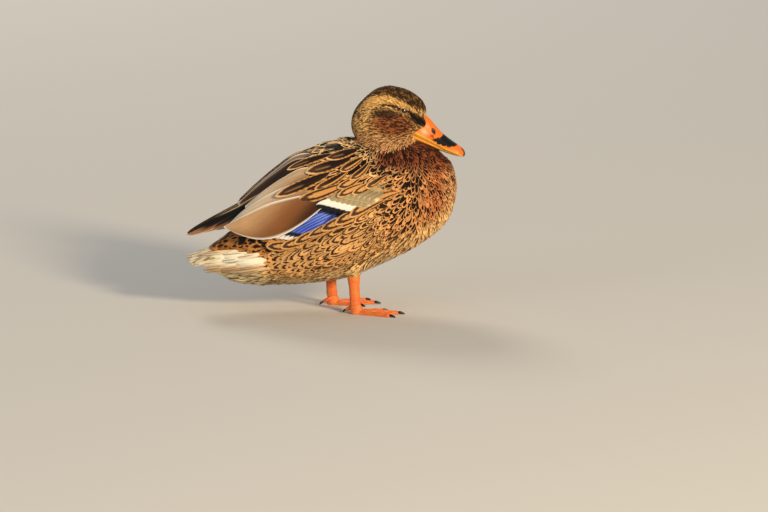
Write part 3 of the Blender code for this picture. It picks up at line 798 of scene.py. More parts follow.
def bare_skin():
    """The skin under the coat: the same markings, inside the feathers by the coat's depth."""
    inset = plumage(OUTER.points)
    along, out, up = to_head(OUTER.points).T
    socket = (1 - ramp(np.hypot(along - EYE_SLIT[0], up - EYE_SLIT[1]), 3.5, 6.0)) * (np.abs(out) > 8)
    depth = inset["depth"] * 0.9 + 2.4 * socket
    mesh = outer_mesh.copy()
    # Painted shade: the markings are mixed towards dark and darkened, so that the skin reads as shade between
    # the feathers.
    give(mesh, "paint", layered(inset["edge"], (inset["dark"], 0.45)) * 0.8)
    return clothe("skin_body", mesh, OUTER.points - OUTER.normals * depth[:, None], SKIN)


def crowding(points):
    grown = plumage(points)
    return 1 / (grown["spacing"] ** 2 * grown["stretch"])


def clear_of_face(roots, ways, length):
    """True where a feather neither crosses the eye's opening nor starts inside the bill."""
    clear = np.ones(len(roots), bool)
    for reach in (0, 0.6, 1.0):
        along, out, up = to_head(roots + ways * (length * reach)[:, None]).T
        opening = np.hypot((along - EYE_SLIT[0]) / EYE_OPENING[0], (up - EYE_SLIT[1]) / EYE_OPENING[1])
        clear &= (opening > 1) | (np.abs(out) < 6)
    along, out, up = to_head(roots).T
    return clear & ((along < BILL_EDGE) | (np.hypot(out / BILL_REACH[0], (up - 0.5) / BILL_REACH[1]) > 1))


def grow_coat():
    """All the small feathers, one object for each part of the body."""
    rng = np.random.default_rng(COAT_SEED)
    roots, normals = OUTER.snap(OUTER.scatter(rng, CANDIDATES, crowding))
    grown, ways = plumage(roots), flow(roots, normals)
    keep = clear_of_face(roots, ways, grown["length"])
    roots, normals = roots[keep], normals[keep]
    kept = thinned(roots, ways[keep], grown["spacing"][keep], grown["stretch"][keep], rng)
    roots, normals = roots[kept], normals[kept]
    on_head, turn = headness(roots) > 0.5, trunk_turn(roots)
    behind = ~on_head & (roots[:, 0] <= BREAST_START)
    parts = {
        "coat_head": on_head,
        "coat_breast": ~on_head & ~behind,
        "coat_back": behind & (turn > BACK_TURN),
        "coat_flanks": behind & (turn <= BACK_TURN) & (turn > BELLY_TURN),
        "coat_belly": behind & (turn <= BELLY_TURN),
    }
    made = {}
    for name, part in parts.items():
        rows, columns, wrap = (4, 2, False) if name == "coat_head" else (7, 4, True)
        made[name] = coat(name, roots[part], normals[part], rows, columns, wrap)
    return made


skin = bare_skin()
coats = grow_coat()

# ---------------------------------------------------------------- large feathers of the wings and tail

# Each large feather is a grid, with u across it from -1 to 1 and v along it from the root, 0, to the tip, 1.
ROWS, COLUMNS = 36, 12
GRID_V = np.repeat((np.linspace(0, 1, ROWS + 1) ** 0.85)[:, None], COLUMNS + 1, axis=1)
GRID_U = np.repeat(np.linspace(-1, 1, COLUMNS + 1)[None], ROWS + 1, axis=0)
V = GRID_V[:, :1]
THICKNESS = 0.25
VANE_CURVE = 110  # the larger, the flatter a free vane is across
RIDGE = 0.5  # how far its shaft stands up
CELL_RIM = 0.05  # the share of a cell of the unwrap that stays empty at each side


def flipped(side, point):
    """A point given for the right side, on this side."""
    return (point[0], -SIDES[side] * point[1], point[2])


def bend(root, middle, tip):
    """The grid's rows of points along the curve through three points."""
    root, middle, tip = (np.array(p, float) for p in (root, middle, tip))
    control = middle * 2 - (root + tip) / 2
    return root * (1 - V) ** 2 + control * 2 * V * (1 - V) + tip * V**2


def breadth(half_width, blunt, pinch):
    """Half the width at each row: narrow at the root, full, then a round or blunt tip."""
    return half_width * 1.05 * V**pinch * np.maximum(1 - V**blunt, 0.0004) ** 0.6


def closed_grid(tops, outward):
    """Tops with the two edges of the strip that closes them underneath."""
    return tops, tops[:, [0, -1]] - outward[:, [0, -1]] * THICKNESS


def free_feather(side, places, half_width, outward, lift=0.0, blunt=3.2, pinch=0.5):
    """A feather clear of the body, facing outward, from its root, middle and tip on the right side.

    u runs from its lower edge to its upper on the right, and the other way on the left.
    """
    spine = bend(*(flipped(side, place) for place in places))
    line = unit(np.gradient(spine, axis=0))
    face = across_from(np.array([flipped(side, outward)]), line)
    across = np.cross(line, face)
    spread = breadth(half_width, blunt, pinch) * GRID_U
    raised = lift - spread**2 / VANE_CURVE + RIDGE * (1 - np.abs(GRID_U))
    tops = spine[:, None] + across[:, None] * spread[..., None] + face[:, None] * raised[..., None]
    return closed_grid(tops, np.repeat(face[:, None], COLUMNS + 1, axis=1))


def on_body(side, x, z):
    """The place on the bird's side at x and z."""
    sign = SIDES[side]
    hit = OUTER.tree.ray_cast(Vector((x, sign * 150, z)), Vector((0, -sign, 0)))
    return hit[0] if hit[0] is not None else OUTER.tree.find_nearest((x, sign * 60, z))[0]


def laid_feather(side, places, half_width, lift, blunt=3.0, pinch=0.45):
    """A feather that lies on the body. Its places are (x, z) on the bird's side; lift is at its tip."""
    spine, normal = OUTER.snap(bend(*(on_body(side, x, z) for x, z in places)))
    across = unit(np.cross(unit(np.gradient(spine, axis=0)), normal))
    spread = breadth(half_width, blunt, pinch) * GRID_U
    tops, normals = OUTER.snap(spine[:, None] + across[:, None] * spread[..., None])
    raised = lift * (0.35 + 0.65 * GRID_V) + 0.05 * half_width * (1 - GRID_U**2) * np.minimum(1, 4 * GRID_V)
    return closed_grid(tops + normals * raised[..., None], normals)


def through(points):
    """The grid's rows of points along a smooth curve through any number of points."""
    points = np.array(points, float)
    at = np.concatenate(([0], np.cumsum(np.linalg.norm(np.diff(points, axis=0), axis=1))))
    at /= at[-1]
    slope = np.gradient(points, at, axis=0)
    i = np.clip(np.searchsorted(at, V[:, 0]) - 1, 0, len(at) - 2)
    step = (at[i + 1] - at[i])[:, None]
    return hermite((V - at[i][:, None]) / step, step, points[i], points[i + 1], slope[i], slope[i + 1])


def spanned_feather(side, lower, upper, bulge):
    """A broad feather between a lower and an upper edge, each a row of points from root to tip."""
    low, high = (through([flipped(side, place) for place in edge]) for edge in (lower, upper))
    if side == "left":
        low, high = high, low
    share = (GRID_U[..., None] + 1) / 2
    tops = low[:, None] * (1 - share) + high[:, None] * share
    face = unit(np.cross(unit(np.gradient((low + high) / 2, axis=0)), high - low))
    if face[ROWS // 2, 1] * SIDES[side] < 0:
        face = -face
    face = np.repeat(face[:, None], COLUMNS + 1, axis=1)
    swell = bulge * (1 - GRID_U**2) * np.minimum(1, 5 * (1 - GRID_V))
    return closed_grid(tops + face * swell[..., None], face)


def quills(name, feathers, surface, cells):
    """One object from (grid, paint) pairs. Each feather has its own cell of the unwrap, cells to a side."""
    tops, unders = (np.stack([grid[k] for grid, _ in feathers]) for k in (0, 1))
    v_all = np.concatenate((GRID_V.ravel(), np.repeat(V[:, 0], 2)))
    u_all = np.concatenate((GRID_U.ravel(), np.tile((-1.0, 1.0), ROWS + 1)))
    paints = np.concatenate([paint(u_all, v_all) for _, paint in feathers])
    index = np.arange(len(feathers))
    place = np.column_stack((index % cells, index // cells)) / cells + CELL_RIM / cells
    length = np.linalg.norm(np.diff(tops[:, :, COLUMNS // 2], axis=1), axis=2).sum(axis=1)[:, None]
    width = np.linalg.norm(tops[:, ROWS // 2, 0] - tops[:, ROWS // 2, -1], axis=1)[:, None] / 2
    attributes = {"paint": paints, "barb": barb_lengths(length, width, V[:, 0], GRID_U[0])}
    patch = (place, np.full(len(feathers), (1 - 2 * CELL_RIM) / cells))
    return vanes(name, tops, unders, attributes, patch, surface)


def mirrored(paint):
    """The paint as it is on the left, where u runs the other way."""
    return lambda u, v: paint(-u, v)


def both(feathers):
    """The (grid, paint) pairs of both wings, the right one first."""
    return [*feathers("right"), *((grid, mirrored(paint)) for grid, paint in feathers("left"))]


def rim_distance(u, v, start=0.55):
    """0 on the shaft and 1 on the rim, round the tip."""
    beyond = np.clip((v - start) / (1 - start), 0, 1)
    return np.sqrt(u**2 + 0.97 * beyond**3)


def tertial_paint(root, middle, tip, rim, shaft_at, low_rim, high_rim):
    """Darker at the root and below, paler at the tip and above, with a light shaft and rim."""

    def paint(u, v):
        share = np.clip(v + 0.22 * u, 0, 1)
        colour = layered(root, (middle, ramp(share, 0.02, 0.40)), (tip, ramp(share, 0.35, 0.92)))
        colour = colour * (1 + 0.035 * np.sin(v * 210 + np.abs(u - shaft_at) * 24))[:, None]
        rims = np.maximum(ramp(-u, low_rim, low_rim + 0.06), ramp(u, high_rim, high_rim + 0.06))
        shaft = 0.75 * soft_line(u, shaft_at, 0.03) * ramp(v, 0.1, 0.3)
        return layered(colour, ("#e9cda4", shaft), (rim, np.maximum(rims, ramp(v, 0.97, 0.995))))

    return paint


def primary_paint(u, v):
    return layered(
        "#120c09",
        ("#8d6142", 1 - ramp(u, -0.7, -0.2)),
        ("#a3754c", 0.9 * ramp(v, 0.80, 0.92) * (1 - ramp(u, 0.1, 0.45))),
        ("#d2ad80", 0.7 * ramp(v, 0.965, 1.0) * (1 - ramp(u, 0.1, 0.5))),
        ("#e6cfa6", 0.8 * (1 - ramp(u, -0.97, -0.85))),
    )


def top_primary_paint(u, v):
    return layered(primary_paint(u, v), ("#dcc6a0", ramp(u, 0.80, 0.9) * (1 - ramp(v, 0.55, 0.75))))


def scapular_paint(kind):
    """filled: dark with a buff streak. ringed: a dark loop round orange-buff. halved: dark above only."""

    def paint(u, v):
        q = rim_distance(u, v) + 0.03 * np.sin(v * 60 + u * 9)
        dark = layered("#21110a", ("#6a452a", ramp(v, 0.45, 1.0) * 0.55))
        buff = layered("#cf9350", ("#ecc088" if kind == "filled" else "#dba868", ramp(v, 0.5, 1)))
        if kind == "ringed":
            return layered(buff, (dark, ramp(q, 0.34, 0.42) * (1 - ramp(q, 0.78, 0.84))))
        if kind == "halved":
            above = np.maximum(ramp(u, -0.15, -0.05), ramp(q, 0.42, 0.50))
            return layered(buff, (dark, above * (1 - ramp(q, 0.79, 0.85))))
        streak = 0.7 * soft_line(u, -0.12, 0.1) * inside(v, 0.5, 0.80, 0.05)
        return layered(buff, (dark, 1 - ramp(q, 0.79, 0.85)), ("#b98a58", streak))

    return paint


TIP_SLANT = 0.10  # how far up the vane the bars climb, so that they line up from feather to feather


def speculum_paint(u, v):
    """Blue with a painted sheen, between black bars, and white at the tip."""
    at = v - TIP_SLANT * u
    # Painted sheen: a paler band of blue along each vane beside its shaft.
    blue = layered("#2438a8", ("#7d9cf5", soft_line(u, 0.2, 0.28)))
    blue_bar, black_bar, white_bar = ramp(at, 0.31, 0.35), ramp(at, 0.80, 0.83), ramp(at, 0.895, 0.92)
    return layered("#0b0a10", (blue, blue_bar), ("#0b0a10", black_bar), ("#f6f1e6", white_bar))


def greater_covert_paint(white_from):
    """Olive-grey, then a white bar and a black tip."""

    def paint(u, v):
        at = v - 1.7 * TIP_SLANT * u
        white = ramp(at, white_from, white_from + 0.08)
        return layered("#a08e6a", ("#faf4e8", white), ("#0f0c0c", ramp(at, 0.88, 0.92)))

    return paint


def lesser_covert_paint(u, v):
    """Olive-grey with a soft paler fringe."""
    fringe = 0.8 * ramp(rim_distance(u, v), 0.70, 0.95)
    return layered("#94815b", ("#ab9870", ramp(v, 0.3, 0.9)), ("#cdb88c", fringe))


def tail_paint(seed):
    """Cream with brown bars that differ from feather to feather, and a tan shaft."""

    def paint(u, v):
        wave = np.sin(v * 17 + np.abs(u) * 5 + seed * 1.7) + 0.6 * np.sin(v * 37 + u * 4 + seed)
        marks = ramp(wave, -0.2, 0.4) * (1 - ramp(np.abs(u), 0.55, 0.75)) * (0.7 + 0.15 * (seed % 3))
        shaft = 0.7 * soft_line(u, 0, 0.06)
        return layered("#f0ddb2", ("#5f3d22", 0.9 * np.clip(marks, 0, 1)), ("#a37f52", shaft))

    return paint


def silky_paint(seed, share):
    """The loose feathers beside and under the tail: cream-white, and streaked tan at the ends of a row."""
    tan = 1 - inside(share, 0.04, 0.76, 0.1)

    def paint(u, v):
        root = 0.65 * (1 - ramp(v, 0.08, 0.32))
        strands = 1 + 0.10 * np.sin(u * 22 + seed)
        streak = (0.75 if seed % 4 == 0 else 0.85 * tan) * soft_line(u, 0.1, 0.28) * ramp(v, 0.40, 0.55)
        colour = layered("#fdf3d8", ("#d3a56a", 0.75 * tan), ("#b9874c", root))
        return layered(colour * strands[:, None], ("#5a3a20", streak))

    return paint


WING_COUNT = 7  # the primaries, the speculum's feathers and the coverts of a row that show


def primaries(side):
    """The dark tips of the folded wing, the longest one first."""
    for i in range(WING_COUNT):
        root = (-50, -22 - 2 * i, 138 - 2.2 * i)
        middle = (-103 + 5 * i, -17 - 2.5 * i, 106 - 0.6 * i)
        tip = (-158 + 12.5 * i, -6 - 2.6 * i, 79 + 3.4 * i)
        grid = free_feather(side, (root, middle, tip), 7.5, (0, -0.8, 0.6), lift=0.45 * i - 0.4, blunt=4.5)
        yield grid, (primary_paint if i else top_primary_paint)


COVERT_PLACES = np.array([(9, 131), (-7, 125), (-23, 116.5)])  # the rearmost one's root, middle and tip
COVERT_STEP = np.array([(5.2, -0.9), (5.2, -1.1), (5.2, -1.4)])  # from each to the next
COVERT_OUTWARD = (0, -0.94, 0.34)
COVERT_BURIED = (0, 5.0, 0)  # how far their square roots are sunk into the body


def covert_lines(side):
    """The greater coverts' places on one flat sheet, clear of the hollow between the wing and the flank."""
    lines = COVERT_PLACES + np.arange(WING_COUNT)[:, None, None] * COVERT_STEP
    places = lines.reshape(-1, 2)
    body_y = np.array([on_body(side, x, z)[1] for x, z in places]) * -SIDES[side]
    sheet = np.column_stack((np.ones(len(places)), places))
    sheet_y = sheet @ np.linalg.lstsq(sheet, body_y, rcond=None)[0]
    return np.dstack((lines[:, :, 0], sheet_y.reshape(WING_COUNT, 3), lines[:, :, 1]))


def secondaries(side):
    """The speculum, the greater coverts with its white upper bar, and two rows of lesser coverts."""
    for i in range(WING_COUNT):
        root, middle = (5 + 3.0 * i, 124.7 - 1.7 * i), (-29.7 + 3.7 * i, 104 - 1.0 * i)
        places = (root, middle, (-65.4 + 4.4 * i, 82.3 - 0.3 * i))
        yield laid_feather(side, places, 5.2, lift=1.7 + 0.14 * i, blunt=9, pinch=0.3), speculum_paint
    coverts = covert_lines(side)
    for i, (root, middle, tip) in enumerate(coverts):
        places = (root + COVERT_BURIED, middle, tip)
        grid = free_feather(side, places, 5.2, COVERT_OUTWARD, lift=3.0 + 0.22 * i, blunt=12, pinch=0.3)
        yield grid, greater_covert_paint(0.56 - 0.01 * i)
    for share, lift in ((0.46, 3.8), (0.68, 4.6)):
        for i, (root, _, tip) in enumerate(coverts):
            way, end = unit(root - tip), tip + share * (root - tip)
            places = (end + 14 * way + COVERT_BURIED, end + 7 * way, end)
            grid = free_feather(side, places, 4.4, COVERT_OUTWARD, lift=lift + 0.2 * i, blunt=4.5, pinch=0.4)
            yield grid, lesser_covert_paint


# From the innermost tertial outwards: lower edge, upper edge, bulge, and what tertial_paint takes.
TERTIALS = (
    (
        ((-12, -26, 159), (-50, -24, 150), (-76, -18, 131), (-105, -9, 111)),
        ((-12, -8, 164), (-44, -3.5, 162), (-65, -3.5, 147.5), (-84, -4, 131.5), (-105, -7, 112)),
        1.5, ("#3b2416", "#7a4f2e", "#c08a52", "#efe2c8", 0.2, 0.97, 0.72),
    ),
    (
        ((-16, -36, 150), (-52, -33, 143), (-78, -27, 127), (-104, -17, 111)),
        ((-16, -26, 159), (-43, -25, 161), (-65, -21, 147), (-88, -17, 128), (-104, -15, 113)),
        2.0, ("#1a100b", "#2a1a11", "#3f2a1c", "#dcc49c", 0.1, 0.86, 0.86),
    ),
    (
        ((-16, -42, 139), (-52, -40, 133), (-76, -34, 120), (-97, -25, 110)),
        ((-14, -37, 150), (-36, -37, 154), (-58, -34, 143), (-79, -29, 128), (-97, -23, 112)),
        2.0, ("#7a5a40", "#b59877", "#d6c0a2", "#efe2c8", 0.3, 0.9, 0.84),
    ),
    (
        ((-16, -46, 126), (-45, -48, 119), (-72, -41, 110), (-97, -33, 100), (-113, -24, 93)),
        (
            (-16, -42, 138), (-38, -45, 141), (-60, -40, 133), (-81, -34, 121), (-100, -27, 107),
            (-113, -22, 94),
        ),
        2.0, ("#8f7050", "#c3a685", "#d9c5a6", "#f6eee0", 0.3, 0.9, 0.80),
    ),
    (
        (
            (-12, -56, 120), (-36, -56, 100), (-52, -54, 89.5), (-67, -51, 83), (-85, -44, 80.5),
            (-103, -36, 84), (-119, -27, 90),
        ),
        ((-14, -54, 132), (-41, -52, 127), (-72, -45, 118), (-98, -35, 104), (-119, -26, 91)),
        2.6, ("#3a1d0e", "#85532c", "#d2a676", "#fbf6ea", -0.42, 0.90, 0.92),
    ),
)  # fmt: skip


def tertials(side):
    """The long broad feathers over the folded wing."""
    for lower, upper, bulge, colours in TERTIALS:
        yield spanned_feather(side, lower, upper, bulge), tertial_paint(*colours)


# The long scapulars over each wing: root, middle and tip as (x, z), half width, marking.
LAID_SCAPULARS = (
    (((18, 171), (4, 167), (-14, 162)), 8.0, "filled"),
    (((12, 164), (-10, 156), (-34, 148)), 9.0, "filled"),
    (((24, 164), (12, 157), (1, 151)), 6.0, "halved"),
    (((9, 152), (-7, 141), (-25, 133)), 6.5, "halved"),
    (((30, 159), (22, 150), (10, 143)), 5.5, "halved"),
    (((24, 150), (12, 141), (-2, 135)), 6.0, "ringed"),
    (((8, 140), (-16, 130), (-42, 121)), 7.6, "ringed"),
    (((50, 147), (38, 141.5), (25, 135.5)), 4.6, "halved"),
    (((38, 142), (26, 136), (12, 129.5)), 4.8, "ringed"),
    (((24, 139), (12, 133.5), (-2, 127)), 5.2, "ringed"),
)
# The two that reach out over the tertials: root, middle and tip, half width, outward.
FREE_SCAPULARS = (
    (((-8, -34, 167), (-32, -34, 160), (-54, -29, 150)), 6.5, (0, -0.7, 0.71)),
    (((-10, -49, 150), (-38, -50.5, 138), (-66, -45, 125)), 8.6, (0, -0.88, 0.47)),
)


def scapulars(side):
    """The feathers of the shoulder, which fall over the folded wing."""
    for i, (places, half_width, kind) in enumerate(LAID_SCAPULARS):
        yield laid_feather(side, places, half_width, lift=2.2 + 0.42 * i), scapular_paint(kind)
    for places, half_width, outward in FREE_SCAPULARS:
        grid = free_feather(side, places, half_width, outward, lift=0.5, blunt=2.4, pinch=0.45)
        yield grid, scapular_paint("filled")


def flank_edges(side):
    """The large flank feathers that overlap the wing's lower edge, from the breast back."""
    for i in range(8):
        drops = ((60 - 14 * i, 10), (42 - 14 * i, 6.2), (24 - 14 * i, 6.8))
        places = [(x, float(flank_edge(x)) - drop) for x, drop in drops]
        yield laid_feather(side, places, 6.6, lift=3.8 if i else 2.0, blunt=3.2), scapular_paint("ringed")


def tail_fan():
    """The tail, from the lowest outer feathers to the middle pair."""
    for place in sorted(range(-6, 7), key=lambda p: -abs(p)):
        aside = abs(place)
        root = (-90, 2.2 * place, 70 - 0.9 * aside)
        middle = (-126, 3.8 * place, 65.5 - 1.1 * aside)
        tip = (-158.5 + 0.22 * aside**2, 4.9 * place, 55.5 - 0.9 * aside)
        outward = (0.15, 0.05 * place, 1)
        grid = free_feather("right", (root, middle, tip), 6.6, outward, lift=0.5, blunt=5.0)
        yield grid, tail_paint(place + 7)


SILKY_SEED = 5
SILKY_ROWS, SILKY_IN_ROW = 3, 16


def silky_feathers():
    """Long loose feathers from the rear flank to under the tail, in rows on both sides."""
    rng = np.random.default_rng(SILKY_SEED)
    for side in SIDES:
        for i in range(SILKY_ROWS * SILKY_IN_ROW):
            row, low = divmod(i, SILKY_IN_ROW)
            share = low / (SILKY_IN_ROW - 1)
            jitter = rng.normal(0, 1.2, 4)
            x = -92 + 16 * row + jitter[0]
            root = (x + rng.uniform(-14, 10), -(27 + 6 * row) - jitter[1] * 0.5, 67 - 16 * share + jitter[2])
            tip = (x - 47 - 6 * (1 - share), -(14 + 7 * row + 3 * share), 59 - 16 * share + jitter[3])
            middle = (np.array(root) + tip) / 2 + (0, -5.5 + rng.uniform(-1.5, 1.5), 0.5)
            outward = (0, -0.95, 0.3 - 0.7 * share)
            grid = free_feather(side, (root, middle, tip), 2.7, outward, lift=0.2 * row, blunt=2.6)
            yield grid, silky_paint(i + 3, share)


large_feathers = {
    "tertials": quills("feathers_tertials", both(tertials), VANE, 4),
    "primaries": quills("feathers_primaries", both(primaries), VANE, 4),
    "secondaries": quills("feathers_secondaries", both(secondaries), BLUE, 6),
    "scapulars": quills("feathers_scapulars", both(scapulars), VANE, 5),
    "flank_edge": quills("feathers_flank_edge", both(flank_edges), VANE, 5),
    "tail": quills("feathers_tail", [*tail_fan(), *silky_feathers()], VANE, 9),
}

# ---------------------------------------------------------------- bill, eyes and legs

# Along the bill: place, height of the widest line, reach above it and below it, half width there.
UPPER_BILL = (
    (22, -3, 0, 0, 0),
    (30, -4.5, 18.5, 5, 8.5),
    (37, -5.5, 19.5, 5, 9.4),
    (45, -6.5, 17.0, 4.4, 9.3),
    (57, -7.6, 12.0, 3.8, 9.9),
    (70, -8.4, 8.8, 3.4, 11.4),
    (80, -8.6, 6.6, 3.0, 10.8),
    (86, -8.8, 3.8, 2.2, 7.0),
    (88.6, -9.0, 0, 0, 0),
)
LOWER_BILL = (
    (24, -9.5, 0, 0, 0),
    (32, -10, 2, 4.2, 7.4),
    (45, -10.6, 2, 3.2, 7.6),
    (70, -10.8, 2, 2.6, 8.8),
    (82, -10.4, 1.6, 1.8, 6.5),
    (85.5, -10.2, 0, 0, 0),
)
ORANGE, YELLOW, BLACK = "#e8731a", "#f7bd4a", "#0a0706"
# Places on the bill are (along, height), with height 0 on its widest line and 1 on its ridge.
NOSTRIL, NOSTRIL_DEPTH = (49.3, 0.66), 1.4
SADDLE_SPOT = (50.5, 0.32)
RIM_SWELL, NAIL_RISE = 0.35, 0.5
LID_OPENING = (2.9, 1.4)
LID_REACH = 5.1
LID_THICKNESS = 0.55
LID_AROUND, LID_RINGS = 48, 8
LEG_VOXEL, LEG_SMOOTHING = 0.5, 3
CLAW_VOXEL, CLAW_SMOOTHING = 0.28, 2
LEG_FLESH, CLAW_FLESH = 0.75, 0.6  # what smoothing took away, given back
SHANK_RING, TOE_RING = 2.1, 1.9  # millimetres from one ring of scales to the next
RING_BULGE = 0.28
CLAW_INTO_TOE = 1.1


def smooth_row(stations, place):
    """The section at this place: a monotone cubic through the squares of the reaches."""
    rows = np.array(stations, float)
    at, values = rows[:, 0], np.column_stack((rows[:, 1], rows[:, 2:] ** 2))
    step = np.diff(at)
    slope = np.diff(values, axis=0) / step[:, None]
    tangent = np.vstack((slope[:1], np.zeros_like(slope[1:]), slope[-1:]))
    before, after = slope[:-1], slope[1:]
    rising = before * after > 0
    tangent[1:-1][rising] = 2 * before[rising] * after[rising] / (before + after)[rising]
    i = int(np.clip(np.searchsorted(at, place) - 1, 0, len(step) - 1))
    share = float(np.clip((place - at[i]) / step[i], 0, 1))
    row = hermite(share, step[i], values[i], values[i + 1], tangent[i], tangent[i + 1])
    return row[0], *np.sqrt(np.maximum(row[1:], 0))


def wrapped(name, place_and_paint, around, along, surface):
    """A UV sphere with each vertex moved to the place, and given the paint, of place_and_paint(t, angle)."""
    bm = bmesh.new()
    bmesh.ops.create_uvsphere(bm, u_segments=around, v_segments=along, radius=1.0)
    paints = []
    for vertex in bm.verts:
        t = math.acos(max(-1.0, min(1.0, -vertex.co.z))) / math.pi
        place, paint = place_and_paint(t, math.atan2(vertex.co.y, vertex.co.x))
        vertex.co = Vector(to_world(place))
        paints.append(paint)
    if bm.calc_volume(signed=True) < 0:
        bmesh.ops.reverse_faces(bm, faces=bm.faces)
    mesh = mesh_from(name, bm)
    mesh.shade_smooth()
    mesh.materials.append(surface)
    give(mesh, "paint", np.array(paints))
    return add_object(name, mesh)


def on_bill(stations, t, angle):
    """The place (along, out, up) on the plain bill."""
    first, last = stations[0][0], stations[-1][0]
    along = (first + last) / 2 - (last - first) / 2 * math.cos(math.pi * t)
    widest, above, below, half_width = smooth_row(stations, along)
    cos, sin = math.cos(angle), math.sin(angle)
    sharpness = 0.75 + 0.6 * (1 - t)
    out = half_width * math.copysign(abs(cos) ** sharpness, cos)
    return along, out, widest + (above if sin > 0 else below) * sin


def saddle(along, height):
    """The dark patch on the upper bill, with a wavy edge, and its outlying spot below the nostril."""
    height = height + 0.05 * math.sin(along * 1.1) + 0.035 * math.sin(along * 2.3 + 1)
    low = np.interp(along, (51, 54, 59, 65, 71, 75, 78), (0.22, 0.12, 0.08, 0.20, 0.36, 0.72, 1.1))
    high = np.interp(along, (51, 54, 57, 59.5, 61), (0.2, 0.34, 0.55, 0.85, 1.6))
    patch = ramp(height - low, -0.07, 0.05) * (1 - ramp(height - high, -0.05, 0.07))
    spot = 0.9 * soft_line(along, SADDLE_SPOT[0], 2.3) * soft_line(height, SADDLE_SPOT[1], 0.08)
    return max(patch * inside(along, 51.5, 77, 0.8), spot)


def upper_bill(t, angle):
    """The upper bill: a nostril sunk in its side and painted black as shade, a swollen rim, a nail at its
    tip, its markings and a painted highlight near its base.
    """
    along, out, up = on_bill(UPPER_BILL, t, angle)
    height = math.sin(angle)
    slanted = along + 5 * (height - NOSTRIL[1])
    nostril = soft_line(slanted, NOSTRIL[0], 2.4, 4) * soft_line(height, NOSTRIL[1], 0.13, 4)
    rim = soft_line(height, 0.02, 0.10) * ramp(along, 36, 44)
    out += math.copysign(1, math.cos(angle)) * (RIM_SWELL * rim - NOSTRIL_DEPTH * nostril)
    nail = ramp(along, 81, 84) * ramp(-abs(out), -5.5, -3.5)
    up += NAIL_RISE * nail * max(height, 0)
    # The saddle, the nail and the tip are dark horn; the nostril's black is painted shade in its hollow.
    darks = (saddle(along, height), 1.3 * nostril, 0.9 * nail, 0.75 * ramp(along, 85.5, 87.5))
    paint = layered(
        ORANGE,
        (YELLOW, 0.9 * (1 - ramp(height, -0.02, 0.14))),
        # Painted highlight: a pale glossy patch on the side near the bill's base.
        ("#ffd2a0", 0.75 * soft_line(along, 41, 4.5) * soft_line(height, 0.27, 0.17)),
        ("#e4561c", 0.5 * soft_line(along, 50, 9) * soft_line(height, 0.15, 0.1)),
        *((BLACK, min(1.0, dark)) for dark in darks),
    )
    return from_head(along, out, up), paint


def lower_bill(t, angle):
    return from_head(*on_bill(LOWER_BILL, t, angle)), layered(ORANGE, (YELLOW, 0.6))


def eye_centre(side):
    along, out, up = EYE_BALL
    return from_head(along, SIDES[side] * out, up)


def eyeball(side):
    """Black pupil in a deep brown iris. The pole of the sphere looks out and a little forwards."""
    look = unit(HEAD_TURN @ np.array([0.22, SIDES[side] * 0.97, 0.05]))
    first = unit(np.cross(look, (0, 0, 1.0)))
    second = np.cross(look, first)

    def at(t, angle):
        reach, ring = -math.cos(math.pi * t), math.sin(math.pi * t)
        way = look * reach + ring * (first * math.cos(angle) + second * math.sin(angle))
        paint = layered("#2b150a", ("#050303", ramp(reach, 0.83, 0.87)))
        return eye_centre(side) + (EYE_RADIUS - 0.05) * way, paint

    return wrapped(f"eye_{side}_ball", at, 48, 32, WET)


def eyelids(side):
    """Half-closed lids: a shell over the eyeball with an almond opening and a rolled dark rim."""
    look = unit(HEAD_TURN @ np.array([0.12, SIDES[side], 0.0]))
    forwards = across_from(HEAD_TURN @ np.array([1.0, 0, 0]), look)
    upwards = np.cross(look, forwards) * -SIDES[side]
    shift = EYE_SLIT - EYE_BALL[[0, 2]]
    share = (np.arange(LID_RINGS + 1) / LID_RINGS)[:, None]
    angle = math.tau * np.arange(LID_AROUND) / LID_AROUND
    cos, sin = np.cos(angle), np.sin(angle)
    almond_x = LID_OPENING[0] * np.copysign(np.abs(cos) ** 0.8, cos) + shift[0]
    almond_y = LID_OPENING[1] * np.copysign(np.abs(sin) ** 1.15, sin) - 0.3 * cos + shift[1]
    x = almond_x * (1 - share) + LID_REACH * cos * share
    y = almond_y * (1 - share) + LID_REACH * sin * share
    dome = np.sqrt((EYE_RADIUS + LID_THICKNESS) ** 2 - np.minimum(np.hypot(x, y), LID_REACH) ** 2)
    dome[0] -= 0.5  # the edge tucks in behind
    dome[1] += 0.16  # a rim that stands out a little
    points = eye_centre(side) + look * dome[..., None] + forwards * x[..., None] + upwards * y[..., None]
    points = points.reshape(-1, 3)
    inner = np.arange(LID_RINGS * LID_AROUND).reshape(LID_RINGS, LID_AROUND)
    after = np.roll(inner, -1, axis=1)
    quads = np.stack((inner, after, after + LID_AROUND, inner + LID_AROUND), axis=-1).reshape(-1, 4)
    grown, shares = plumage(points), np.repeat(share[:, 0], LID_AROUND)
    feathered = grown["edge"] * 0.8 + grown["dark"] * 0.2
    bare = 1 - ramp(shares, 0.14, 0.36)
    made = object_from(f"eyelids_{side}", points, quads, LID)
    give(made.data, "paint", layered("#c99f68", (feathered, ramp(shares, 0.3, 0.6)), ("#150e0a", bare)))
    return made


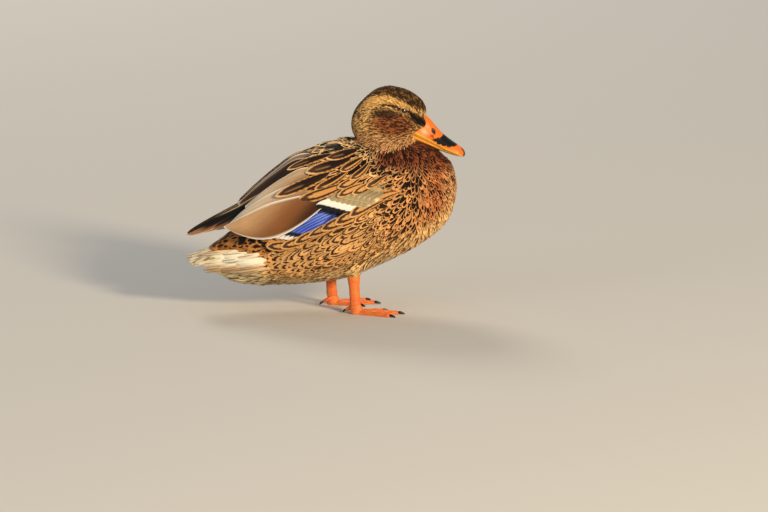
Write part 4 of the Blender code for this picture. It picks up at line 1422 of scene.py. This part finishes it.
def leg(side):
    """Tarsus and webbed foot as one skin, with rings of scales on the shank and the toes."""
    bm = bmesh.new()
    for part in ("tarsus", "foot"):
        flesh_copy(f"{part}_{side}", bm)
    mesh = remeshed(f"leg_{side}_skin", bm, LEG_VOXEL, LEG_SMOOTHING)
    points, normals = read_points(mesh), read_points(mesh, "normal")
    shank = ramp(points[:, 2], 9, 13)
    points = points + normals * (LEG_FLESH + 0.9 * ramp(points[:, 2], 26, 38))[:, None]
    ring = np.where(shank > 0.5, points[:, 2] / SHANK_RING, points[:, 0] / TOE_RING)
    front = ramp(normals[:, 0], 0.0, 0.5) * shank + ramp(normals[:, 2], 0.3, 0.7) * (1 - shank)
    bulge = RING_BULGE * np.abs(np.sin(math.pi * ring)) ** 0.6 * front
    points = points + normals * bulge[:, None]
    points[:, 2] = np.maximum(points[:, 2], 0)
    return clothe(f"leg_{side}_skin", mesh, points, LEG)


def claw(name):
    """The CAD claw, rounder and a little thicker, with its root set into the toe."""
    bm = bmesh.new()
    flesh_copy(name, bm)
    mesh = remeshed(name, bm, CLAW_VOXEL, CLAW_SMOOTHING)
    points = read_points(mesh) + read_points(mesh, "normal") * CLAW_FLESH
    foot = bmesh.new()
    flesh_copy("foot_" + next(side for side in SIDES if side in name), foot)
    into_toe = np.mean([vertex.co for vertex in foot.verts], axis=0) - points.mean(axis=0)
    foot.free()
    points += CLAW_INTO_TOE * into_toe * (1, 1, 0) / np.hypot(*into_toe[:2])
    points[:, 2] = np.maximum(points[:, 2], 0.05)
    return clothe(f"{name}_horn", mesh, points, CLAW)


bills = {
    "bill_upper": wrapped("bill_upper_skin", upper_bill, 144, 160, BILL),
    "bill_lower": wrapped("bill_lower_skin", lower_bill, 96, 96, BILL),
}
eyes = {side: eyeball(side) for side in SIDES}
lids = {side: eyelids(side) for side in SIDES}
legs = {side: leg(side) for side in SIDES}
claws = {name: claw(name) for name in sorted(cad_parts) if name.startswith("claw")}
bpy.data.meshes.remove(outer_mesh)

# ---------------------------------------------------------------- what each piece stands for


def declare(piece, slot, *nodes):
    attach(piece, "root")
    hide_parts(*nodes)


def pair(kind):
    return [f"{kind}_{side}" for side in SIDES]


declare(skin, "body_feathers", *FLESH)
declare(coats["coat_head"], "head_feathers", "head")
declare(coats["coat_breast"], "body_feathers", "trunk", "neck")
declare(coats["coat_back"], "body_feathers", "trunk", *pair("shoulder"), "tail_coverts_upper")
declare(coats["coat_flanks"], "body_feathers", "trunk", *pair("flank"))
declare(coats["coat_belly"], "body_feathers", "trunk", *pair("thigh"), "tail_coverts_under")
declare(large_feathers["tertials"], "wing_feathers", *pair("tertials"))
declare(large_feathers["primaries"], "flight_feathers", *pair("primaries"))
declare(large_feathers["secondaries"], "speculum_feathers", *pair("secondaries"))
declare(large_feathers["scapulars"], "wing_feathers", *pair("shoulder"))
declare(large_feathers["flank_edge"], "body_feathers", *pair("flank"))
declare(large_feathers["tail"], "tail_feathers", "tail", "tail_coverts_under")
for name, piece in bills.items():
    declare(piece, "bill_skin", name)
for side in SIDES:
    declare(eyes[side], "eye", f"eye_{side}")
    declare(lids[side], "head_feathers", "head")
    declare(legs[side], "leg_skin", f"tarsus_{side}", f"foot_{side}")
for name, piece in claws.items():
    declare(piece, "horn", name)

# ---------------------------------------------------------------- floor, light and camera

FLOOR_REACH = 30.0
SENSOR_WIDTH = 36  # millimetres
VIEW_WIDTH = 0.793  # metres that fit across the view at the bird
CAMERA_DISTANCE = 6.0
CAMERA_ELEVATION = math.radians(9.8)
CAMERA_TARGET = Vector(to_world((45.5, 0, 55.6)))


def aim(made, place, way):
    """Puts a lamp or camera at the place, looking that way."""
    made.location = place
    made.rotation_euler = way.to_track_quat("-Z", "Y").to_euler()


def area_light(name, place, target, size, power, colour):
    light = bpy.data.lights.new(name, "AREA")
    light.shape = "DISK"
    light.size = size
    light.energy = power
    light.color = linear(colour)
    aim(add_object(name, light), place, Vector(target) - Vector(place))


floor_bm = bmesh.new()
bmesh.ops.create_grid(floor_bm, x_segments=1, y_segments=1, size=FLOOR_REACH)
floor_mesh = mesh_from("studio_floor", floor_bm)
floor_mesh.materials.append(FLOOR)
floor = add_object("studio_floor", floor_mesh)

area_light("key", (2.9, -3.9, 1.9), (0, 0, 0.11), 0.9, 272, "#ffe9c4")
area_light("fill", (-3.6, -3.4, 1.8), (0, 0, 0.1), 2.5, 32, "#e6efff")
area_light("rim", (-1.4, 4.2, 3.2), (0, 0, 0.12), 2.0, 95, "#fff6e8")

world = bpy.data.worlds.new("studio")
world.use_nodes = True
background = world.node_tree.nodes["Background"]
background.inputs["Color"].default_value = (*linear("#eef0f3"), 1)
background.inputs["Strength"].default_value = 0.36
scene = bpy.context.scene
scene.world = world
scene.view_settings.view_transform = "Standard"

camera = bpy.data.cameras.new("camera")
camera.sensor_width = SENSOR_WIDTH
camera.lens = SENSOR_WIDTH * CAMERA_DISTANCE / VIEW_WIDTH
camera.clip_end = 50
scene.camera = add_object("camera", camera)
back = Vector((0, -math.cos(CAMERA_ELEVATION), math.sin(CAMERA_ELEVATION)))
aim(scene.camera, CAMERA_TARGET + back * CAMERA_DISTANCE, -back)
